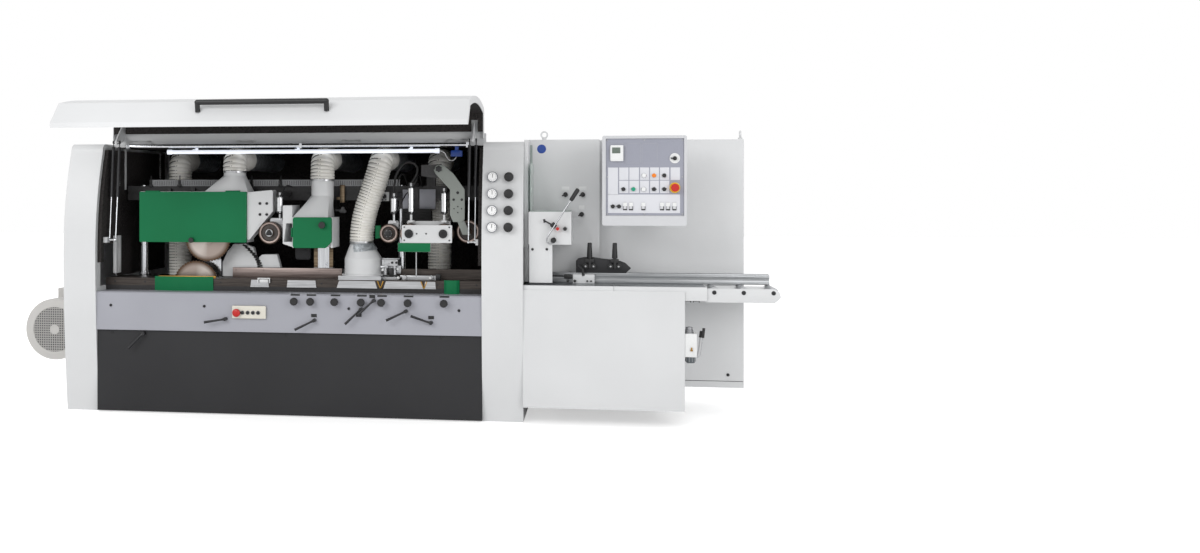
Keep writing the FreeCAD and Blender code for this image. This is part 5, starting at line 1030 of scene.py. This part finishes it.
for x in (771, 991):
    turned(carrier_caps, [(0, 1), (14, 1), (14, 3), (24, 3), (27, 1.5), (28.5, 0)], at(x, 106, ROLLER_Z),
           OUT, 36)
    socket_bolt(carrier_caps, at(x, 104, ROLLER_Z), 9, 5)
add_piece("carrier_caps", carrier_caps, CHARCOAL, "twin_roller_carrier_body")
carrier_bolts = bmesh.new()
bolts(carrier_bolts, ((740, 1212), (740, 1128), (1030, 1212), (1030, 1128), (881, 1170), (820, 1170)), 118,
      5, 3)
add_piece("carrier_bolts", carrier_bolts, BLACK_COAT, "twin_roller_carrier_body")
arm_bolts = bmesh.new()
bolts(arm_bolts, [(1082, 1432)], 136, 9, 4)
bolts(arm_bolts, ((1056, 1388), (1108, 1388)), 136, 8, 4)
bolts(arm_bolts, ((1058, 1330), (1106, 1330), (1082, 1344), (1082, 1306)), 136, 4, 4)
lobed_knob(arm_bolts, 961, 130, 1584, 22, 6, 7, 0.2)
add_piece("arm_bolts", arm_bolts, BLACK_COAT, "infeed_roller_arm_body")

box = bmesh.new()
plate(box, at(1024, 240, 1665), at(1099, 272, 1706), 4)
plate(box, at(1050, 250, 1706), at(1074, 256, 1750), 1)
add_piece("lamp_junction_box", box, BLUE_PLASTIC)
thin_hose("lamp_wire", [at(951, 230, 1703), at(985, 232, 1700), at(1000, 240, 1650), at(1040, 252, 1630),
                        at(1060, 256, 1666)],
          2.5, WHITE_PLASTIC)

# %% [markdown]
# Each green guard has a black knob that goes through it and swings with it.

# %% Guard knobs
for name, x, z, front, back, radius, body in (("saw_guard_knob", -686, 1119, 123, 150, 17.6,
                                               "saw_guard_body"),
                                              ("cutter_guard_knob", 207, 1223, 77, 108, 22.6,
                                               "cutter_guard_body")):
    knob = bmesh.new()
    turned(knob, [(0, 0), (radius - 2, 0), (radius, 2), (radius, 12), (radius - 5, 18),
                  (9, back - front - 1),
                  (0, back - front - 1)][::-1], at(x, front, z), (0, 1, 0), 32)
    add_piece(name, knob, BLACK_PLASTIC, body)

# %% [markdown]
# The pale housing at the infeed carries three selectors with blank plates and a plain blue disc. On the cover
# below it stand two black knobs, a red stop and the table lever, a bright bent rod with a black grip.

# %% Infeed controls
HOUSING_FACE = 340
selectors, cover_knobs = bmesh.new(), bmesh.new()
for x, z in ((1758, 1420), (1868, 1420), (1861, 1293)):
    turned(selectors, [(0, 0), (15.8, 0), (15.8, 10), (14, 12.8), (0, 12.8)], at(x, HOUSING_FACE, z), OUT,
           28)
    plate(selectors, at(x - 5.8, HOUSING_FACE - 31, z - 15.8), at(x + 5.8, HOUSING_FACE - 12, z + 15.8),
          2.5)
    bar(selectors, at(x - 4, HOUSING_FACE - 26, z), at(x - 20, HOUSING_FACE - 40, z - 8), 4.5, 12)
add_piece("selector_knobs", selectors, BLACK_PLASTIC)
blank = bmesh.new()
for x, z, half in ((1758, 1459, 24), (1868, 1459, 24), (1861, 1337, 18)):
    plate(blank, at(x - half, HOUSING_FACE - 0.8, z - 13), at(x + half, HOUSING_FACE, z + 13), 0.3)
add_piece("selector_plates", blank, WHITE_PLASTIC)
disc = bmesh.new()
turned(disc, [(0, 0), (29, 0), (29, 0.8), (0, 0.8)], at(1604, HOUSING_FACE, 1715), OUT, 40)
add_piece("plain_disc", disc, BLUE_PLASTIC)

COVER_FACE = 60
turned(cover_knobs, [(0, 0), (14.6, 0), (14.6, 20), (12, 24.6), (0, 24.6)], at(1763, COVER_FACE, 1208), OUT,
       28)
lobed_knob(cover_knobs, 1692, 36, 1229, 21, 4, 12, 0.3)
turned(cover_knobs, [(0, 0), (16.6, 0), (16.6, 24), (0, 24)], at(1692, COVER_FACE, 1229), OUT, 28)
bar(cover_knobs, at(1686, 30, 1232), at(1640, 30, 1256), 5, 14)
bar(cover_knobs, at(1638, 30, 1246), at(1634, 30, 1268), 7, 14)
add_piece("cover_knobs", cover_knobs, BLACK_PLASTIC)
red = bmesh.new()
turned(red, [(0, 0), (13.6, 0), (13.6, 18), (11, 24), (0, 25)], at(1717, COVER_FACE, 1208), OUT, 28)
add_piece("cover_stop", red, RED_PLASTIC)

LEVER_TOP = at(1803, 16, 1390)
LEVER_PATH = [at(1692, 14, 1120), at(1668, 14, 1114), at(1650, 14, 1130), at(1656, 14, 1160),
              at(1672, 16, 1186), LEVER_TOP]
rod = thin_hose("lever_rod_bright", LEVER_PATH, 4.8, TURNED_STEEL, "table_lever_body")
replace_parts(rod, "table_lever")
reach = (LEVER_TOP - LEVER_PATH[-2]).normalized()
grip = bmesh.new()
turned(grip, [(0, -8), (10, -8), (11.5, -4), (13, 4), (13.5, 68), (12, 76), (6, 79), (0, 79)], LEVER_TOP,
       reach, 28)
turned(grip, [(0, 0), (17, 0), (17, 44), (14, 48), (0, 48)], at(1692, 56, 1137), OUT, 32)
add_piece("lever_grip_and_hub", grip, BLACK_PLASTIC, "table_lever_body")
filler = bmesh.new()
plate(filler, at(1506, 120, 872), at(1530, 338, 1766), 1)
add_piece("cover_filler", filler, HOUSING)

# %% [markdown]
# The infeed fence is an aluminium extrusion, drawn as two flanges, a web and three thin lips. It carries a
# dark plate with two clamps on black posts, and a pale setting block with small knobs.

# %% Infeed fence
FENCE_FACE = 242
INFEED_Z = 858
fence = bmesh.new()
plate(fence, at(1505.5, FENCE_FACE, INFEED_Z + 39), at(3019.5, 322, INFEED_Z + 65), 1.2)
plate(fence, at(1505.5, FENCE_FACE, INFEED_Z + 0.5), at(3019.5, 322, INFEED_Z + 27), 1.2)
plate(fence, at(1506, FENCE_FACE + 9, INFEED_Z + 20), at(3019, 321, INFEED_Z + 45), 0)
for z in (INFEED_Z + 7, INFEED_Z + 47, INFEED_Z + 57):
    plate(fence, at(1506, FENCE_FACE - 0.8, z), at(3019, FENCE_FACE + 1, z + 4), 0.3)
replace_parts(add_piece("fence_extrusion", fence, EXTRUDED), "infeed_fence")
FENCE_TOP = INFEED_Z + 65
holder = bmesh.new()
profiled(holder, [(1826, FENCE_TOP), (2140, FENCE_TOP), (2172, FENCE_TOP + 32), (2136, FENCE_TOP + 66),
                  (2104, FENCE_TOP + 78), (2050, FENCE_TOP + 86), (1990, FENCE_TOP + 92),
                  (1940, FENCE_TOP + 100),
                  (1880, FENCE_TOP + 100), (1840, FENCE_TOP + 92), (1826, FENCE_TOP + 76)], FENCE_FACE,
         FENCE_FACE + 10, 2)
add_piece("fence_clamp_plate", holder, CHARCOAL)
clamps, studs = bmesh.new(), bmesh.new()
for x in (1913, 2070):
    foot = FENCE_TOP + 60
    bar(clamps, at(x, FENCE_FACE - 10, foot - 30), at(x + 2, FENCE_FACE - 14, foot + 130), 12, 20)
    turned(clamps, [(0, 0), (17, 0), (18, 4), (14, 92), (12, 98), (0, 99)],
           at(x, FENCE_FACE - 14, foot + 34), UP, 28)
    plate(clamps, at(x - 28, FENCE_FACE - 22, foot + 6), at(x + 26, FENCE_FACE - 2, foot + 30), 3)
    for shift in (-26, 24):
        lobed_knob(clamps, x + shift, FENCE_FACE - 4, foot - 18, 19, 5, 12, 0.28)
        turned(studs, [(0, 0), (6, 0), (5, 3), (0, 4)], at(x + shift, FENCE_FACE - 16, foot - 18), OUT, 14)
add_piece("fence_clamps", clamps, BLACK_PLASTIC)
add_piece("fence_clamp_studs", studs, BRIGHT_STEEL)
block = bmesh.new()
plate(block, at(1808, FENCE_FACE - 46, INFEED_Z + 0.5), at(1944, FENCE_FACE - 4, INFEED_Z + 58), 3)
add_piece("setting_block", block, HOUSING)
block_knobs = bmesh.new()
for x, radius in ((1776, 10), (1820, 10), (1898, 6), (1922, 6)):
    lobed_knob(block_knobs, x, FENCE_FACE - 46, INFEED_Z + 16, radius, 5, 12)
bar(block_knobs, at(1838, FENCE_FACE - 30, INFEED_Z + 112), at(1868, FENCE_FACE - 40, INFEED_Z + 92), 8, 14)
bar(block_knobs, at(1868, FENCE_FACE - 40, INFEED_Z + 92), at(1874, FENCE_FACE - 44, INFEED_Z + 48), 9, 14)
bar(block_knobs, at(1660, FENCE_FACE - 30, INFEED_Z + 46), at(1808, FENCE_FACE - 30, INFEED_Z + 44), 4, 12)
plate(block_knobs, at(1752, FENCE_FACE - 40, INFEED_Z + 30), at(1808, FENCE_FACE - 12, INFEED_Z + 56), 3)
add_piece("setting_block_knobs", block_knobs, BLACK_PLASTIC)

# %% [markdown]
# The infeed table is two pale box sections with planed iron on top. Beyond them two side plates with a
# rounded end hold the extension rollers on black axles.

# %% Infeed table
table = bmesh.new()
for x0, x1 in ((1505.5, 2061), (2063, 2620)):
    plate(table, at(x0, 8, INFEED_Z - 84), at(x1, 276, INFEED_Z - 0.4), 0.6)
SIDE_PLATE = [(2612, 850), (3016, 850), (3038, 842), (3052, 822), (3056, 800), (3040, 782), (3020, 766),
              (2612, 766)]
for depth in (20, 230):
    profiled(table, SIDE_PLATE, depth, depth + 8, 0.6)
plate(table, at(1505.5, 0.2, 775), at(2488, 7.6, 822), 0.5)
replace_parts(add_piece("infeed_table_plates", table, HOUSING), "infeed_table")
planed = bmesh.new()
for x0, x1 in ((1506, 2060.5), (2063.5, 2615)):
    plate(planed, at(x0, 9, INFEED_Z - 0.5), at(x1, 275, INFEED_Z + 0.2), 0.3, 1)
add_piece("infeed_table_top", planed, INFEED_IRON)
AXLE_Z = 826
axles = bmesh.new()
for x in (2664, 2838, 3013):
    bar(axles, at(x, 14, AXLE_Z), at(x, 237, AXLE_Z), 8)
    turned(axles, [(0, 0), (13, 0), (13, 2), (0, 2)], at(x, 20, AXLE_Z), OUT, 24)
    turned(axles, [(0, 2), (9, 2), (9, 8), (7.5, 9), (0, 9)], at(x, 20, AXLE_Z), OUT, 6)
add_piece("extension_axles", axles, BLACK_COAT)

# %% [markdown]
# The central lubrication unit hangs at the end of the table: a white box with a dark bowl below, bright rings
# on top, a brass nozzle, and two bent levers with black grips. Black spools beside it belong to the table's
# jack, and a thin dark strip along the fold of the cabinet below is painted shade in the crease.

# %% Oil unit, jack spools and painted shade at the cabinet fold
OIL_X, OIL_DEPTH = 2524, 42
box = bmesh.new()
plate(box, at(2488.5, 4, 432), at(2560, 80, 574), 3)
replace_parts(add_piece("oil_unit_box", box, WHITE_PLASTIC, slot="housing_paint"), "lubrication_unit")
glass = bmesh.new()
turned(glass, [(0, 0), (24, 0), (28, 5), (30, 12), (30, 38), (0, 38)], at(OIL_X, OIL_DEPTH, 394), UP, 32)
add_piece("oil_bowl", glass, moulded_plastic("dark_oil_bowl", "4A5054", "5B6266", 0.15),
          slot="clear_plastic")
stack = bmesh.new()
for step in range(3):
    turned(stack, [(0, 0), (28 - step * 3, 0), (28 - step * 3, 8), (22, 10), (0, 10)],
           at(OIL_X - 8, OIL_DEPTH, 574 + step * 13),
           UP, 32)
turned(stack, [(0, 0), (20, 0), (20, 38), (0, 38)], at(OIL_X - 8, OIL_DEPTH, 574), UP, 24)
for step in range(10):
    turn = Matrix.Rotation(math.tau * step / 10, 3, "Z")
    rib = at(OIL_X, OIL_DEPTH, 414) + turn @ Vector((0.0302, 0, 0))
    bar(stack, rib - Vector((0, 0, 0.012)), rib + Vector((0, 0, 0.018)), 1.6, 8)
add_piece("oil_unit_metal", stack, TURNED_STEEL)
nozzle = bmesh.new()
turned(nozzle, [(0, 0), (8, 0), (8, 6), (5, 8), (3.5, 22), (0, 22)], at(OIL_X + 4, -2, 470), UP, 20)
add_piece("oil_nozzle", nozzle, BRASS)
for number, (shift, depth) in enumerate(((0, 30), (-14, 54)), 1):
    path = [at(2556, depth, 430), at(2580 + shift, depth, 430), at(2588 + shift, depth, 470),
            at(2598 + shift, depth, 556)]
    thin_hose("oil_lever_%d" % number, path, 3.6, BRIGHT_STEEL)
    tip = bmesh.new()
    bar(tip, path[-1] - Vector((0.001, 0, 0.008)),
        path[-1] + Vector((0.005, 0, 0.052 - 0.02 * (number - 1))), 8.5, 20)
    add_piece("oil_lever_grip_%d" % number, tip, BLACK_PLASTIC)
spools = bmesh.new()
for x0, x1 in ((2489, 2536), (2548, 2588)):
    bar(spools, at(x0, 150, 763), at(x1, 150, 763), 5, 14)
    for x in (x0, x1 - 5):
        bar(spools, at(x, 150, 763), at(x + 5, 150, 763), 11, 20)
add_piece("table_jack_spools", spools, BLACK_PLASTIC)
# A thin dark strip paints the shade in the crease of the cabinet's fold.
painted_fold_shade = bmesh.new()
plate(painted_fold_shade, at(1510, 449.6, 220.5), at(2885, 450.6, 223.5), 0)
add_piece("cabinet_fold_shade", painted_fold_shade, CHARCOAL)

# %% [markdown]
# The drive motor shows its fan cowl: a grid of flat bars over a black disc that is painted shade in the
# opening, inside a turned skin.

# %% Motor cowl
MOTOR = (-1720, 494)
FAN_OPENING = 152
GRID_PITCH = 16
grille, painted_shading = bmesh.new(), bmesh.new()
for row in range(-9, 10):
    off = row * GRID_PITCH
    half = math.sqrt(FAN_OPENING ** 2 - off ** 2)
    for x0, z0, x1, z1 in ((-half, off - 3, half, off + 3), (off - 3, -half, off + 3, half)):
        plate(grille, at(MOTOR[0] + x0, 298, MOTOR[1] + z0), at(MOTOR[0] + x1, 299.5, MOTOR[1] + z1), 0)
turned(grille, [(34, -1.8), (34, 1.8), (0, 1.8)], at(MOTOR[0], 298.5, MOTOR[1]), OUT, 32)
# The thin black disc behind the grille is painted shade in the cowl's opening.
turned(painted_shading, [(0, 0), (FAN_OPENING, 0), (FAN_OPENING, 0.3), (0, 0.3)], at(MOTOR[0], 299.9, MOTOR[1]), OUT,
       48)
add_piece("motor_grille", grille, MOTOR_GREY)
add_piece("motor_fan_shade", painted_shading, BLACK_COAT)
rim = bmesh.new()
turned(rim, [(FAN_OPENING, 0), (FAN_OPENING + 2, 3), (186, 2.5), (204, -3), (208.6, -12), (208.6, -124)],
       at(MOTOR[0], 300, MOTOR[1]), OUT, 64)
add_piece("motor_cowl_skin", rim, MOTOR_GREY)

# %% [markdown]
# Cap screws hold the housings, guards and panels. They are made in one go for each finish.

# %% Screws
screws = bmesh.new()
bolts(screws, ((-228, 1361), (-182, 1361), (-228, 1289), (-182, 1289)), 170, 9, 7)
bolts(screws, ((1561, 1079), (1650, 1080)), 60, 8, 5)
add_piece("housing_screws", screws, BLACK_COAT)
screws = bmesh.new()
bolts(screws, ((403, 697), (1106, 695), (-1185, 697), (-550, 699)), 0, 9, 5)
bolts(screws, ((-12, 521), (988, 519), (-1180, 519)), 15, 7, 4)
socket_bolt(screws, at(2790, 450, 263), 10, 5)
add_piece("panel_bolts", screws, BLACK_COAT)

# %% [markdown]
# Plain studio: a pale floor that is white to the camera but still takes the machine's shadow, a white world,
# and two large soft lamps in front, so the sheet metal shades gently.

# %% Studio
FLOOR_SIZE = 60.0
floor_mesh = bmesh.new()
bmesh.ops.create_grid(floor_mesh, x_segments=1, y_segments=1, size=FLOOR_SIZE / 2)
floor_data = bpy.data.meshes.new("floor")
floor_mesh.to_mesh(floor_data)
floor_mesh.free()
floor = bpy.data.objects.new("floor", floor_data)
floor.location.z = -0.001
scene.collection.objects.link(floor)

floor_paint, tree, shader, place = new_finish("floor_paint", 0.6)
shader.inputs["Base Color"].default_value = linear("F2F2F2")
camera_ray = add_node(tree, "ShaderNodeLightPath").outputs["Is Camera Ray"]
glow = add_node(tree, "ShaderNodeMath", {0: camera_ray, 1: 0.5}, operation="MULTIPLY")
shader.inputs["Emission Color"].default_value = (1, 1, 1, 1)
tree.links.new(glow.outputs[0], shader.inputs["Emission Strength"])
floor_data.materials.append(floor_paint)

world = bpy.data.worlds.new("studio")
world.use_nodes = True
scene.world = world
tree = world.node_tree
tree.nodes.clear()
path = add_node(tree, "ShaderNodeLightPath")
seen = add_node(tree, "ShaderNodeMath", {0: path.outputs["Is Camera Ray"],
                                         1: path.outputs["Is Glossy Ray"]},
                operation="MAXIMUM")
seen = add_node(tree, "ShaderNodeMath", {0: seen.outputs[0], 1: path.outputs["Is Transmission Ray"]},
                operation="MAXIMUM")
level = add_node(tree, "ShaderNodeMapRange", {"Value": seen.outputs[0], "To Min": 0.8, "To Max": 1.0})
sky = add_node(tree, "ShaderNodeBackground", {"Color": (1, 1, 1, 1), "Strength": level.outputs["Result"]})
add_node(tree, "ShaderNodeOutputWorld", {"Surface": sky.outputs[0]})


def soft_lamp(name, place, target, size, power):
    data = bpy.data.lights.new(name, "AREA")
    data.shape = "RECTANGLE"
    data.size, data.size_y = size
    data.energy = power
    lamp = bpy.data.objects.new(name, data)
    lamp.location = place
    lamp.rotation_euler = (Vector(target) - Vector(place)).to_track_quat("-Z", "Y").to_euler()
    scene.collection.objects.link(lamp)


soft_lamp("key", (-2.5, -6.0, 4.2), (0.3, 0, 0.9), (4.0, 2.5), 150)
soft_lamp("fill", (5.5, -5.5, 2.4), (0.5, 0, 1.0), (3.0, 3.0), 85)
scene.view_settings.view_transform = "Standard"
